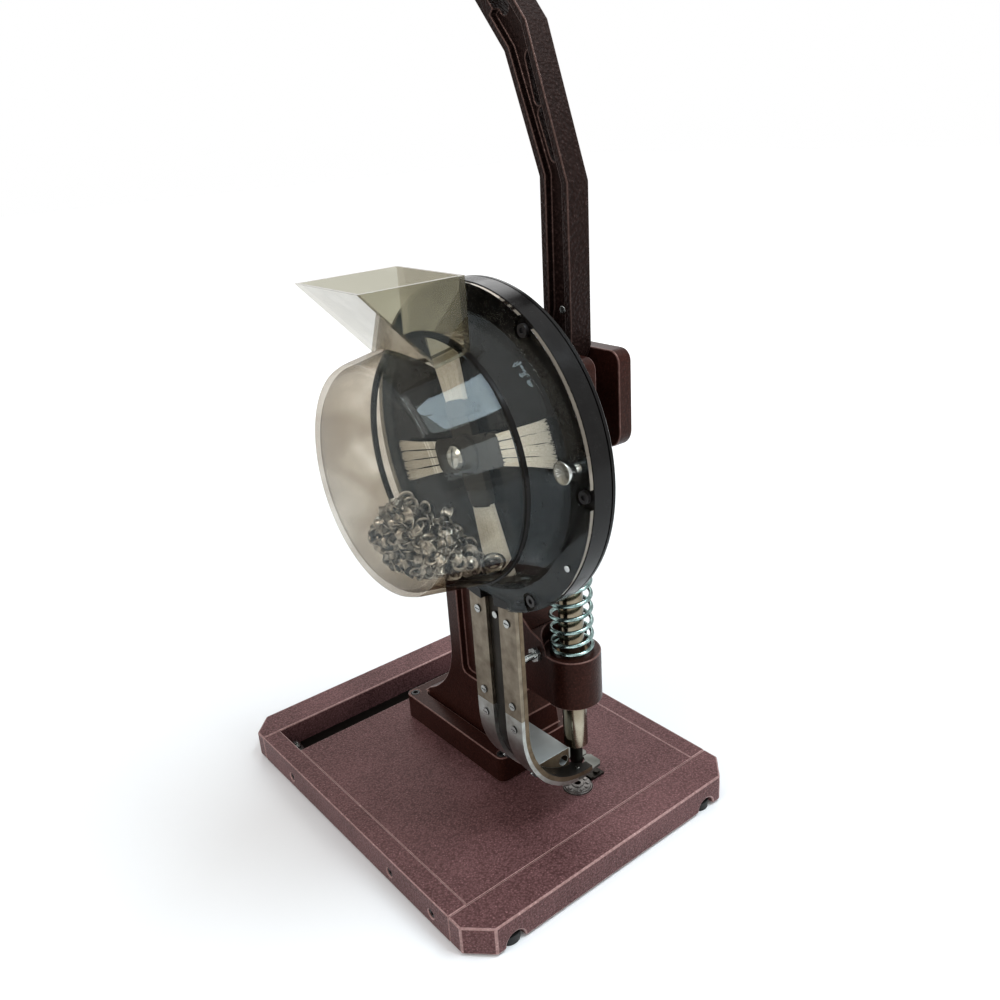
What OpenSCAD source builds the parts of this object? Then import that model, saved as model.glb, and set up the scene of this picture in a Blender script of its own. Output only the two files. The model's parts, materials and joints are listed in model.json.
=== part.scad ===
// Bench eyelet machine. A hand lever turns a cam that drives a ram down through a cast C-frame.
// The same shaft swings a rotor of brushes in a clear drum, which feeds eyelets down a curved track.
// Origin: middle of the base on the bench. +X right, -Y towards the operator, +Z up.

/* [Base] */
// Width of the base
base_w = 267; // [264:1:290]
// Length of the base, front to back
base_l = 340; // [338:1:370]
// Height of the table above the bench
base_h = 25; // [24.5:0.5:30]
// Cut across each corner of the base
corner_cut = 17.5; // [12:0.5:20]
// Length of the front cap
front_cap_l = 31; // [29:0.5:34]
// Length of the rear cap
rear_cap_l = 29; // [27:0.5:32]
// Width of each side rail
rail_w = 16.5; // [15:0.5:18]
// Length of the open window behind the table plate
window_l = 40; // [34:0.5:41]
// Thickness of the table plate
plate_t = 4; // [3:0.5:5]
// Radius of each foot
foot_r = 9; // [8.5:0.1:9.5]
// Radius of the bench bolt hole in each foot
foot_hole_r = 3.2; // [2.7:0.1:3.4]
// Distance between the left and right feet
foot_span_x = 199; // [190:1:205]
// Distance between the front and rear feet
foot_span_y = 320; // [312:1:321]

/* [Frame] */
// Middle plane of the frame, right of the base's centre
frame_x = 25; // [20:1:28]
// Ram axis, in front of the base's centre
ram_front = 100; // [98:1:102]
// Width of the frame's flanges
column_w = 48; // [46:0.5:52]
// Depth of the recess in each side of the frame
web_recess = 6; // [4:0.5:9]
// Width of the slot between the cheeks
slot_w = 20; // [19.5:0.1:20.5]
// Width across the two cheeks
cheek_span = 43.2; // [42:0.2:45]
// Height of the frame's top above the table
frame_top = 359.3; // [358:0.1:362]

/* [Press] */
// Diameter of the ram
ram_d = 19; // [18:0.2:20]
// Travel of the ram at full lever swing
ram_travel = 17; // [15:0.5:17]
// Diameter of the guide boss
boss_d = 43.6; // [42:0.2:46]
// Outside diameter of the return spring
spring_od = 33.7; // [32:0.1:34.5]
// Wire diameter of the return spring
spring_wire = 3; // [2.5:0.1:3.3]
// Full turns in the return spring
spring_turns = 7.25; // [6.25:1:8.25]
// Diameter of the upper punch
punch_d = 10; // [9:0.2:10.4]
// Diameter of the lower die
die_d = 23.6; // [22:0.2:24]

/* [Lever] */
// Swing of the lever, in degrees
lever_swing = 80; // [70:1:80]
// Width of the lever arm
lever_w = 18; // [17:0.2:18.6]
// Depth of the recess in each side of the lever
lever_recess = 5; // [3:0.5:6]
// Radius of the pivot shaft
pivot_r = 7; // [6.5:0.1:7.5]
// Radius of the cam roller
roller_r = 9; // [8.5:0.1:9]
// Length of the grip
grip_l = 115; // [100:1:130]
// Radius of the grip
grip_r = 13; // [11:0.5:15]

/* [Drum] */
// Radius of the disc behind the drum
disc_r = 109; // [108:0.5:112]
// Radius of the clear cover where it leaves its flange
cover_root_r = 92; // [91:0.5:93]
// Radius of the clear bowl at its front
shoulder_r = 73; // [71:0.5:75]
// Thickness of the clear walls
clear_t = 2.5; // [2:0.1:2.8]
// Radius of the brush tips
brush_r = 84; // [80:0.5:85]
// Bristles across each tuft
tuft_across = 6; // [4:1:7]
// Bristles through each tuft
tuft_through = 4; // [3:1:4]
// Tufts on each brush
tufts = 4; // [3:1:4]
// Width of the funnel
funnel_w = 68; // [60:1:70]

/* [Track] */
// Width of the track
track_w = 50; // [48:0.5:52]
// Width of the slot that the eyelets slide down
track_slot = 14; // [13:0.5:15]
// Thickness of the track's cover strips
strip_t = 3; // [2.6:0.1:3.2]
// Thickness of the track's base
track_base_t = 3.6; // [3:0.1:3.8]
// Outer radius of the track's bend
bend_r = 72.5; // [72:0.1:73]
// Swing of each gate, in degrees
gate_swing = 20; // [14:1:22]

/* [Hidden] */
$fn = 64;
eps = 0.01;

// Base
half_w = base_w / 2;
half_l = base_l / 2;
skirt = 2;                        // gap between the base and the bench
foot_h = 7;
foot_fit = 0.4;
notch_foot_r = 8.5;               // half-round notch in the cap's face that shows the foot
well_w = base_w - 2 * rail_w;     // inside width between the rails
well_front = -half_l + front_cap_l;
well_rear = half_l - rear_cap_l;
plate_rear = well_rear - window_l;
cover_t = 2;
cover_bolt_in = 9;                // from each rail to the cover's bolts
deck = skirt + cover_t;           // top of the bottom cover
bench_hole_depth = 18;
bench_hole_r = 2.5;
feet = [for (x = [-1, 1], y = [-1, 1]) [x * foot_span_x / 2, y * foot_span_y / 2]];
beam_w = 14;
beam_ys = [-117.3, -63.4, 90];
beam_screw_z = deck + 7.5;
lap_z = deck + 6;                 // where the bed bar lies over the beams
bed_w = 90;
bed_front = -25;
bed_rear = 197;
bed_top = -plate_t;
side_head_r = 3.4;
side_head_h = 3;
side_shank_r = 2;

// Frame: heights above the table, depths behind the ram axis
ram_y = -ram_front;
casting_w = 86;
foot_top = 23.5;
foot_front = 43;
foot_rear = 180;
foot_rim = 13;
foot_floor = 18.5;
pedestal_front = 50;
pedestal_top = 51;
pedestal_foot_w = 54;
column_front = 62;
column_rear = 128;
heel_r = 65;                      // hollow between the column's back and the casting's foot
heel_z = 87;
throat_top = 275;
cheek_bottom = 292.7;
cheek_front = -44.4;
slot_rear = 40;
flange_w = 15;
boss_r = boss_d / 2;
boss_bottom = 86;
boss_top = 127;
arm_w = 42.8;
bolt_x = 36.5;
bolt_ys = [49.5, 173.5];
bolt_head_r = 4;
bolt_head_h = 5;
bolt_r = 2.5;
bolt_tip = -12;

// Lever and cam
lift = ram_travel / (lever_swing * PI / 180);   // ram travel per radian, and the involute's base
pivot = [lift, 326];
cam_h = 22;                       // from the pivot down to the roller at rest
cam_w = 9;
hub_r = 19;
cheek_bush_r = 9;
bush_flange_r = 11;
bush_flange_t = 1.5;
shaft_fit = 0.05;
roller_gap = 0.3;
roller_w = 9.6;
roller_z = pivot[1] - cam_h - roller_gap - roller_r;
roller_pin_r = 3;
lean = 40;                        // backward lean of the top of the arm
lean_dir = [sin(lean), cos(lean)];
arm_front_bend = [8.8, 555.3];
arm_rear_bend = [30.4, 539.9];
arm_top_l = 62;
arm_tip = (arm_front_bend + arm_rear_bend) / 2 + arm_top_l * lean_dir;
bar_r = 6.5;
bar_in = 25;                      // length of the bar inside the arm
grip_from = 30;
stop_r = 4;
pin_r = 2.5;                      // key pin of the shaft and cross pin of the arm
cross_pin_at = [-14, 386];
stop_z = pivot[1] + hub_r + stop_r + 1;
stop_tip = lift + 9.2;

// Ram
ram_r = ram_d / 2;
ram_tip = 43;
ram_top = 275;
ram_fit = 0.05;
guide_wall = 2.5;
fork_w = 19.4;
fork_slot = 10;
fork_l = 20;
fork_bottom = 268;
fork_top = roller_z + 6.3;
collar_z = 220;
collar_h = 11;
collar_r = 18;
punch_r = punch_d / 2;
nose_z = 20.5;
punch_in = 17;                    // length of the punch inside the ram
spring_l = collar_z - boss_top;

// Die
die_r = die_d / 2;
die_top = 3;
die_shank_r = 6;
die_shank_l = 10;
die_hole_r = 2.5;

// Drive to the brushes: two equal cranks joined by a link
drum_z = 305;
drum_axis = [0, drum_z];
crank_l = 30;
crank_angle = 110;                // from straight back, turning up
crank_pin_r = 3;
crank_eye_r = 7;
crank_hub_r = 11;
cheek_x = cheek_span / 2;
crank_x = -cheek_x - bush_flange_t - 0.3;
crank_t = 5.7;
link_x = crank_x - crank_t - 0.5;
link_t = 5;
rotor_crank_x = link_x - link_t - 0.5;
rotor_crank_t = 5;
link_fit = 0.05;
open_fit = 0.4;                   // clearance at the pivot that closes the loop
crank_tip = crank_l * [cos(crank_angle), sin(crank_angle)];
rotor_r = 5;

// Drum: distances left of the frame's middle plane
disc_rear = 58;
disc_face = 76;
cover_face = 79;
seam_u = 100;
seam_r = 81;
seal_w = 3;
shoulder_u = 148;
nose_u = 156;
disc_bush_r = 8;
disc_boss_r = 14;
disc_boss_u = 44;
standoff_r = 5;
standoff_bolt_r = 2.5;
standoffs = [[34, 351], [34, 299], [-32, 343]];
notch_angles = [123, 182, 241];
notch_r = disc_r - 7;
notch_half_w = 6;
knob_angle = 172;
knob_r = 7;
knob_h = 12;
pin_angle = 211;
knob_at = disc_r - 9.5;
hub_face = 91;
hub_body_r = 13;
hub_neck_r = 9;
brush_angles = [-17, 73, 163, 253];
brush_u = [77.5, 83];
holder_r = [24, 35];
holder_w = 24;
spoke_w = 23;

// Funnel: points are [left of the middle plane, height above the table]
funnel_rim = 423;
funnel_wall = [[99, 350], [99, funnel_rim], [169, funnel_rim], [122, 373], [122, 350]];
feed_hole = [[103, 119], 46];     // from and to along the drum, and width

// Track
bend_z = 95.5;                    // height of the bend's centre, right below the drum
seat_r = bend_r - strip_t;        // where the strips lie on the base
inner_r = seat_r - track_base_t;
track_top_gap = 0.3;
strip_w = (track_w - track_slot) / 2;
strip_end_x = -16.5;
tip_half_w = 16;
joint_z = 108;                    // where the straight track meets the bend
strip_screw_zs = [drum_z - disc_r - 12, joint_z + 9.5];
straight_screw_z = joint_z - 10;  // screws of the bend's short straight part
bend_screw_angles = [38, 55];
screw_r = 1.5;
screw_head_r = 3;
screw_head_h = 1.6;
screw_sink = 0.6;                 // how far the heads sit in the strips
lug_w = 24;
gate_pivot = [-11, 13];
gate_t = 2.5;
gate_pin_r = 1.5;
gate_eye_r = 5;
gate_mouth_r = 6.2;
gate_z = bend_z - bend_r;
stay_r = 3;
stay_at = [16, 125];
block_z = [28, 47];
block_bolt_at = [-19, 38];

// Colours
paint = "#3d2624";
zinc = "#b9bcc0";
steel = "#8f9296";
black = "#232326";
clear = [0.85, 0.9, 0.95, 0.45];
bronze = "#b08d4a";
rubber = "#1c1c1c";

// Points along an arc
function arc(c, r, a0, a1, n) = [for (i = [0 : n]) let (a = a0 + (a1 - a0) * i / n) c + r * [cos(a), sin(a)]];
function unit(v) = v / norm(v);
function xy(p) = [p[0], p[1]];

// Arc that rounds the corner b, between a and c
function corner(a, b, c, r, n) =
    let (u = unit(a - b), v = unit(c - b), half = acos(u * v) / 2,
         o = b + unit(u + v) * r / sin(half),
         s = b + u * r / tan(half) - o, e = b + v * r / tan(half) - o,
         a0 = atan2(s[1], s[0]), turn = (atan2(e[1], e[0]) - a0 + 540) % 360 - 180)
    [for (i = [0 : n]) o + r * [cos(a0 + turn * i / n), sin(a0 + turn * i / n)]];

// Outline through [x, y, corner radius] points
function rounded(pts, n = 5) =
    let (m = len(pts))
    [for (i = [0 : m - 1])
        each pts[i][2] == 0 ? [xy(pts[i])]
            : corner(xy(pts[(i + m - 1) % m]), xy(pts[i]), xy(pts[(i + 1) % m]), pts[i][2], n)];

// The press stands at the frame's plane, on the ram axis and on the table
module press() { translate([frame_x, ram_y, base_h]) children(); }

// Outline in [y, z], extruded along X
module slab(pts, x0, x1) {
    translate([x0, 0, 0]) rotate([90, 0, 90]) linear_extrude(x1 - x0) polygon(pts);
}

// Round bar along X at p = [y, z]
module xbar(p, r, x0, x1) { translate([x0, p[0], p[1]]) rotate([0, 90, 0]) cylinder(r = r, h = x1 - x0); }

// Round bar along Y at p = [x, z]
module ybar(p, r, y0, y1) { translate([p[0], y1, p[1]]) rotate([90, 0, 0]) cylinder(r = r, h = y1 - y0); }

module box(lo, hi) { translate(lo) cube(hi - lo); }

// Profile of [radius, distance left of the middle plane], turned about the drum's axis
module turned(profile) {
    translate([0, 0, drum_z]) rotate([0, -90, 0]) rotate_extrude($fn = 96) polygon(profile);
}

// Places children on the drum's axis, turned to an angle from straight back
module at_drum(angle) { translate([0, 0, drum_z]) rotate([angle, 0, 0]) children(); }

// Flat strap along X between two eyes, [y, z]
module strap(a, b, r, x0, x1) {
    across = r * [-unit(b - a)[1], unit(b - a)[0]];
    xbar(a, r, x0, x1);
    xbar(b, r, x0, x1);
    slab([a + across, b + across, b - across, a - across], x0, x1);
}

module hex_head(r, h) { cylinder(r = r, h = h, $fn = 6); }

// ---- Base ----

module base_outline() {
    polygon([
        [-half_w + corner_cut, -half_l], [half_w - corner_cut, -half_l],
        [half_w, -half_l + corner_cut], [half_w, half_l - corner_cut],
        [half_w - corner_cut, half_l], [-half_w + corner_cut, half_l],
        [-half_w, half_l - corner_cut], [-half_w, -half_l + corner_cut]
    ]);
}

// Slice of the base from y0 to y1, with the feet's pockets and bench bolt holes
module cap(y0, y1) {
    difference() {
        intersection() {
            translate([0, 0, skirt]) linear_extrude(base_h - skirt) base_outline();
            box([-half_w, y0, 0], [half_w, y1, base_h]);
        }
        for (f = feet) {
            translate([f[0], f[1], skirt - 1]) cylinder(r = foot_r + foot_fit, h = foot_h - skirt + 1);
            translate([f[0], f[1], skirt]) cylinder(r = bench_hole_r, h = bench_hole_depth - skirt);
            end = sign(f[1]) * half_l;
            ybar([f[0], skirt + 1], notch_foot_r, end - 8, end + 8);
        }
    }
}

module front_cap() { color(paint) cap(-half_l, well_front); }

module rear_cap() { color(paint) cap(well_rear, half_l); }

module rubber_feet() {
    color(rubber)
    for (f = feet) translate(f) difference() {
        cylinder(r = foot_r, h = foot_h);
        translate([0, 0, -1]) cylinder(r = foot_hole_r, h = foot_h + 2);
    }
}

module side_rail() {
    difference() {
        box([well_w / 2, well_front, skirt], [half_w, well_rear, base_h]);
        for (y = beam_ys) {
            xbar([y, beam_screw_z], side_shank_r, well_w / 2 - 1, half_w + 1);
            xbar([y, beam_screw_z], side_head_r, half_w - side_head_h - 1, half_w + 1);
        }
    }
}

module side_rail_right() { color(paint) side_rail(); }

module side_rail_left() { color(paint) mirror([1, 0, 0]) side_rail(); }

module side_screws() {
    color(black)
    for (side = [0, 1], y = beam_ys) mirror([side, 0, 0]) difference() {
        union() {
            xbar([y, beam_screw_z], side_shank_r, well_w / 2 - 12, half_w - side_head_h);
            xbar([y, beam_screw_z], side_head_r, half_w - side_head_h - 1, half_w - 1);
        }
        translate([half_w - 2.5, y, beam_screw_z]) rotate([0, 90, 0]) hex_head(1.7, 3);
    }
}

module bottom_cover() {
    color(steel)
    box([-well_w / 2, well_front, skirt], [well_w / 2, well_rear, deck]);
}

module cross_beams() {
    color(steel)
    for (y = beam_ys) difference() {
        box([-well_w / 2, y - beam_w / 2, deck], [well_w / 2, y + beam_w / 2, base_h - plate_t]);
        box([frame_x - bed_w / 2, y - beam_w / 2 - 1, lap_z],
            [frame_x + bed_w / 2, y + beam_w / 2 + 1, base_h]);
        for (side = [-1, 1]) {
            inner = well_w / 2 - 12;
            xbar([y, beam_screw_z], side_shank_r, side > 0 ? inner : -half_w, side > 0 ? half_w : -inner);
        }
    }
}

module bed_bar() {
    color(steel) press() difference() {
        box([-bed_w / 2, bed_front, lap_z - base_h], [bed_w / 2, bed_rear, bed_top]);
        translate([0, 0, -die_shank_l - plate_t]) cylinder(r = die_shank_r, h = die_shank_l + 1);
        for (x = [-bolt_x, bolt_x], y = bolt_ys) translate([x, y, bolt_tip]) cylinder(r = bolt_r, h = 20);
    }
}

module table_plate() {
    color(paint) difference() {
        box([-well_w / 2, well_front, base_h - plate_t], [well_w / 2, plate_rear, base_h]);
        press() {
            translate([0, 0, -plate_t - 1]) cylinder(r = die_r + 0.3, h = plate_t + 2);
            for (x = [-bolt_x, bolt_x], y = bolt_ys) translate([x, y, bolt_tip]) cylinder(r = bolt_r, h = 20);
        }
    }
}

module cover_bolts() {
    color(steel)
    for (x = [-1, 1]) translate([x * (well_w / 2 - cover_bolt_in), well_rear - 8, deck]) {
        cylinder(r = 6.5, h = 1.2);
        translate([0, 0, 1.2]) hex_head(5, 4);
        translate([0, 0, 5]) cylinder(r = 2.5, h = 3);
    }
}

// ---- Cast frame ----

module frame_profile(x0, x1) {
    slab(concat(
        [[pedestal_front, foot_floor], [pedestal_front, 45], [column_front, 60]],
        arc([column_front - 12, throat_top - 12], 12, 0, 90, 6),
        arc([cheek_front + 12, cheek_bottom + 12], 12, 270, 180, 6),
        arc([cheek_front + 8, frame_top - 8], 8, 180, 90, 6),
        [[90, frame_top], [column_rear, 315]],
        arc([column_rear + heel_r, heel_z], heel_r, 180, 245, 12),
        [[175, foot_floor]]), x0, x1);
}

// Recess that leaves a web in the middle of the column and the upper arm
module web_pocket(x0, x1) {
    front = column_front + flange_w;
    rear = column_rear - flange_w;
    slab(rounded([[front, pedestal_top + 16, 6], [front, throat_top + 13, 8], [50, throat_top + 17, 4],
        [50, frame_top - 15, 6], [84, frame_top - 15, 8], [rear, 310, 8], [rear, pedestal_top + 16, 6]]), x0, x1);
}

module casting_foot() {
    difference() {
        linear_extrude(foot_top) polygon(rounded([
            [-casting_w / 2, foot_front, 6], [casting_w / 2, foot_front, 6],
            [casting_w / 2, foot_rear, 6], [-casting_w / 2, foot_rear, 6]]));
        translate([0, 0, foot_floor]) linear_extrude(foot_top) polygon(rounded([
            [-casting_w / 2 + foot_rim, foot_front + foot_rim, 5], [casting_w / 2 - foot_rim, foot_front + foot_rim, 5],
            [casting_w / 2 - foot_rim, foot_rear - foot_rim, 5], [-casting_w / 2 + foot_rim, foot_rear - foot_rim, 5]]));
    }
}

// Column, upper arm and the wider part below that narrows upwards
module column() {
    intersection() {
        frame_profile(-casting_w / 2, casting_w / 2);
        translate([0, foot_rear, 0]) rotate([90, 0, 0]) linear_extrude(foot_rear - cheek_front + 1) polygon([
            [-pedestal_foot_w / 2, foot_floor - 1], [pedestal_foot_w / 2, foot_floor - 1],
            [column_w / 2, pedestal_top], [column_w / 2, frame_top + 1],
            [-column_w / 2, frame_top + 1], [-column_w / 2, pedestal_top]]);
    }
}

// Arm and boss that carry the ram's guide, cut back round the return spring
module guide_arm() {
    difference() {
        union() {
            slab(concat([[0, boss_bottom + 2], [0, 124]],
                rounded([[10, 138, 0], [22, 142, 6], [33, 151, 6], [60, 160, 8], [64, 172, 0]]),
                [[70, 172], [70, boss_bottom + 2]]), -arm_w / 2, arm_w / 2);
            translate([0, 0, boss_bottom]) cylinder(r = boss_r, h = boss_top - boss_bottom + 3);
        }
        translate([0, 0, boss_top]) cylinder(r = boss_r + 0.4, h = 60);
    }
}

module c_frame() {
    color(paint) press() difference() {
        union() {
            difference() {
                column();
                for (side = [-1, 1]) {
                    outer = side * (column_w / 2 + 1);
                    inner = side * (column_w / 2 - web_recess);
                    web_pocket(min(outer, inner), max(outer, inner));
                    shave = side * cheek_x;
                    box([min(outer, shave), cheek_front - 1, throat_top - 1],
                        [max(outer, shave), slot_rear, frame_top + 1]);
                }
            }
            casting_foot();
            guide_arm();
        }
        box([-slot_w / 2, cheek_front - 1, throat_top - 20], [slot_w / 2, slot_rear, frame_top + 1]);
        translate([0, 0, boss_bottom - 1]) cylinder(r = ram_r + guide_wall, h = boss_top - boss_bottom + 2);
        xbar(pivot, cheek_bush_r, -column_w, column_w);
        ybar([0, stop_z], stop_r, slot_rear - 1, slot_rear + 20);
        for (p = standoffs) xbar(p, standoff_bolt_r, -column_w, -cheek_x + 8);
        for (x = [-bolt_x, bolt_x], y = bolt_ys) {
            translate([x, y, -1]) cylinder(r = bolt_r, h = foot_top + 2);
            translate([x, y, foot_top - bolt_head_h]) cylinder(r = bolt_head_r + 0.2, h = bolt_head_h + 1);
        }
        ybar(block_bolt_at, bolt_r, pedestal_front - 1, pedestal_front + 14);
        xbar(stay_at, stay_r, -arm_w / 2 - 1, -arm_w / 2 + 5);
    }
}

module socket_bolt(shank) {
    difference() {
        union() {
            cylinder(r = bolt_head_r, h = bolt_head_h);
            translate([0, 0, -shank]) cylinder(r = bolt_r, h = shank + 1);
        }
        translate([0, 0, bolt_head_h - 2.5]) hex_head(2.3, 3);
    }
}

module frame_bolts() {
    color(black) press() {
        for (x = [-bolt_x, bolt_x], y = bolt_ys)
            translate([x, y, foot_top - bolt_head_h]) socket_bolt(foot_top - bolt_head_h - bolt_tip);
        translate([block_bolt_at[0], pedestal_front - 20, block_bolt_at[1]]) rotate([90, 0, 0]) socket_bolt(34);
    }
}

module guide_bush() {
    color(bronze) press() difference() {
        translate([0, 0, boss_bottom]) cylinder(r = ram_r + guide_wall, h = boss_top - boss_bottom);
        translate([0, 0, boss_bottom - 1]) cylinder(r = ram_r + ram_fit, h = boss_top - boss_bottom + 2);
    }
}

module cheek_bushes() {
    color(bronze) press()
    for (side = [0, 1]) mirror([side, 0, 0]) difference() {
        union() {
            xbar(pivot, cheek_bush_r, slot_w / 2, cheek_x + bush_flange_t);
            xbar(pivot, bush_flange_r, cheek_x, cheek_x + bush_flange_t);
        }
        xbar(pivot, pivot_r + shaft_fit, slot_w / 2 - 1, cheek_x + bush_flange_t + 1);
    }
}

module stop_screw() {
    color(steel) press() {
        ybar([0, stop_z], stop_r, stop_tip + 0.3, slot_rear + 18);
        translate([0, slot_rear - 4, stop_z]) rotate([-90, 0, 0]) hex_head(7, 4);
    }
}

// ---- Ram ----

module ram() {
    color(zinc) press() difference() {
        union() {
            translate([0, 0, ram_tip]) cylinder(r = ram_r, h = ram_top - ram_tip);
            box([-fork_w / 2, -fork_l / 2, fork_bottom], [fork_w / 2, fork_l / 2, roller_z]);
            xbar([0, roller_z], fork_top - roller_z, -fork_w / 2, fork_w / 2);
        }
        box([-fork_slot / 2, -fork_l, roller_z - roller_r - 1], [fork_slot / 2, fork_l, fork_top + 10]);
        xbar([0, roller_z], roller_pin_r, -fork_w, fork_w);
        translate([0, 0, ram_tip - 1]) cylinder(r = punch_r, h = punch_in + 1);
        xbar([0, ram_tip + 8], 2, punch_r - 1, ram_r + 1);
    }
}

module roller() {
    color(steel) press() difference() {
        xbar([0, roller_z], roller_r, -roller_w / 2, roller_w / 2);
        xbar([0, roller_z], roller_pin_r + shaft_fit, -roller_w, roller_w);
    }
}

module roller_pin() { color(steel) press() xbar([0, roller_z], roller_pin_r, -fork_w / 2, fork_w / 2); }

module spring_collar() {
    color(zinc) press() difference() {
        translate([0, 0, collar_z]) cylinder(r = collar_r, h = collar_h);
        translate([0, 0, collar_z - 1]) cylinder(r = ram_r, h = collar_h + 2);
        xbar([0, collar_z + collar_h / 2], 2.5, ram_r - 1, collar_r + 1);
    }
}

// Set screws of the collar and of the punch
module ram_screws() {
    color(black) press() {
        xbar([0, collar_z + collar_h / 2], 2.5, ram_r, collar_r - 0.5);
        xbar([0, ram_tip + 8], 2, punch_r, ram_r - 0.5);
    }
}

module upper_punch() {
    color(black) press() {
        translate([0, 0, nose_z + 4]) cylinder(r = punch_r, h = ram_tip + punch_in - nose_z - 4);
        translate([0, 0, nose_z + 1.5]) cylinder(r1 = punch_r - 1.2, r2 = punch_r, h = 2.5);
        translate([0, 0, nose_z]) cylinder(r = 2, h = 4);
    }
}

// Centre line of the spring's wire: straight ends, quarter bends and the coil between them
spring_r = (spring_od - spring_wire) / 2;
spring_bend = spring_wire;
spring_end = spring_wire + spring_bend;
wrap = 180 / (PI * spring_r);     // degrees of turn per millimetre of wire
coil_steps = ceil(spring_turns * 8);
coil_pitch = (spring_l - 2 * spring_end) / spring_turns;
coil_turn = 360 * spring_turns;
coil_tilt = atan2(spring_l - 2 * spring_end, coil_turn / wrap);

// Each station is [angle, height, tilt of the wire from level]
function spring_start() = concat([[0, 0, 90], [0, spring_wire, 90]],
    [for (t = [30, 60]) [spring_bend * (1 - cos(t)) * wrap, spring_wire + spring_bend * sin(t), 90 - t]]);
function spring_coil() = [for (i = [0 : coil_steps])
    [spring_bend * wrap + coil_turn * i / coil_steps,
     spring_end + (spring_l - 2 * spring_end) * i / coil_steps, coil_tilt]];
function spring_finish() = let (s = spring_start(), n = len(s), whole = coil_turn + 2 * spring_bend * wrap)
    [for (i = [n - 1 : -1 : 0]) [whole - s[i][0], spring_l - s[i][1], s[i][2]]];
spring_stations = concat(spring_start(), spring_coil(), spring_finish());

function station_point(s) = [spring_r * cos(s[0]), spring_r * sin(s[0]), s[1]];
function station_ring(s, sides) =
    let (out = [cos(s[0]), sin(s[0]), 0], along = [-sin(s[0]) * cos(s[2]), cos(s[0]) * cos(s[2]), sin(s[2])],
         side = cross(along, out))
    [for (k = [0 : sides - 1]) let (a = 360 * k / sides)
        station_point(s) + spring_wire / 2 * (cos(a) * out + sin(a) * side)];

// Skin round a run of rings, with flat ends
module tube(rings) {
    n = len(rings);
    m = len(rings[0]);
    polyhedron(
        [for (ring = rings) each ring],
        concat([[for (k = [m - 1 : -1 : 0]) k]],
            [for (i = [0 : n - 2], k = [0 : m - 1])
                let (a = i * m + k, b = i * m + (k + 1) % m) each [[a, b, b + m], [a, b + m, a + m]]],
            [[for (k = [0 : m - 1]) (n - 1) * m + k]]));
}

spring_points = [for (s = spring_stations) station_point(s)];
self_gap = min([for (i = [0 : len(spring_points) - 1], j = [i + 6 : 1 : len(spring_points) - 1])
    norm(spring_points[i] - spring_points[j])]) - spring_wire;

module return_spring() {
    echo(least_gap_between_turns = self_gap, pitch = coil_pitch);
    color(zinc) press() translate([0, 0, boss_top])
        tube([for (s = spring_stations) station_ring(s, 6)]);
}

// ---- Die ----

module lower_die() {
    color(steel) press() difference() {
        union() {
            translate([0, 0, -plate_t - die_shank_l]) cylinder(r = die_shank_r, h = die_shank_l + 1);
            translate([0, 0, -plate_t]) cylinder(r = die_r, h = plate_t + 1);
            cylinder(r = die_r - 1, h = die_top - 0.8);
            cylinder(r = 5, h = die_top);
            for (a = [0 : 36 : 324]) rotate(a) translate([8.2, 0, 0]) cylinder(r = 1.7, h = die_top, $fn = 24);
        }
        translate([0, 0, -plate_t]) cylinder(r = die_hole_r, h = plate_t + die_top + 1);
    }
}

module die_clamp() {
    color(black) press() {
        box([die_r + 0.6, -4, 0], [die_r + 14, 4, 2]);
        box([die_r - 0.6, -4, 1], [die_r + 2.4, 4, 3.6]);
        translate([die_r + 9, 0, 2]) hex_head(3, 2.2);
    }
}

// ---- Lever ----

lever_outline = [[pivot[0] - hub_r + 1, pivot[1] + 4], [-21, 361], [-22.5, 463.3], arm_front_bend,
    arm_front_bend + arm_top_l * lean_dir, arm_rear_bend + arm_top_l * lean_dir, arm_rear_bend,
    [2.8, 466.9], [4.7, 385], [stop_tip, 362], [stop_tip, 336], [pivot[0] + hub_r - 6, pivot[1]]];
web_outline = [[-15.5, 366], [-16.8, 462.5], [13.6, 553.5], [13.6, 553.5] + 25 * lean_dir,
    [25.8, 541.8] + 25 * lean_dir, [25.8, 541.8], [-2.8, 468], [-1, 386], [3.5, 366]];
lever_slots = [[[12.4, 535], [5.9, 511.9]], [[2.8, 502.7], [-6.6, 479.1]]];
top_slot = [[33.5, 564], [45, 577.7]];

// Edge of the cam, as [y, z] from the pivot, where its line of contact makes this angle
function cam_point(a) =
    let (h = cam_h + lift * (270 - a) * PI / 180)
    [h * cos(a) + lift * sin(a), h * sin(a) - lift * cos(a)];

module cam() {
    edge = [for (a = [276 : -4 : 270 - lever_swing - 8]) pivot + cam_point(a)];
    slab(concat([pivot], edge), -cam_w / 2, cam_w / 2);
}

module lever_arm() {
    color(paint) press() difference() {
        union() {
            xbar(pivot, hub_r, -lever_w / 2, lever_w / 2);
            cam();
            difference() {
                slab(lever_outline, -lever_w / 2, lever_w / 2);
                for (side = [0, 1]) mirror([side, 0, 0])
                    slab(web_outline, lever_w / 2 - lever_recess, lever_w / 2 + 1);
                for (s = concat(lever_slots, [top_slot])) strap(s[0], s[1], 4, -lever_w, lever_w);
            }
        }
        xbar(pivot, pivot_r, -lever_w, lever_w);
        ybar([0, pivot[1]], pin_r, pivot[0] - hub_r - 1, pivot[0] + hub_r + 5);
        xbar(cross_pin_at, pin_r, -lever_w, lever_w);
        translate([0, arm_tip[0], arm_tip[1]]) rotate([-lean, 0, 0]) translate([0, 0, -bar_in])
            cylinder(r = bar_r, h = bar_in + 1);
    }
}

// Pin that keys the lever to its shaft, and the cross pin in the arm
module lever_pins() {
    color(zinc) press() {
        ybar([0, pivot[1]], pin_r, pivot[0] - hub_r, pivot[0] + hub_r - 0.5);
        xbar(cross_pin_at, pin_r, -lever_w / 2 - 0.4, lever_w / 2 + 0.4);
    }
}

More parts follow.
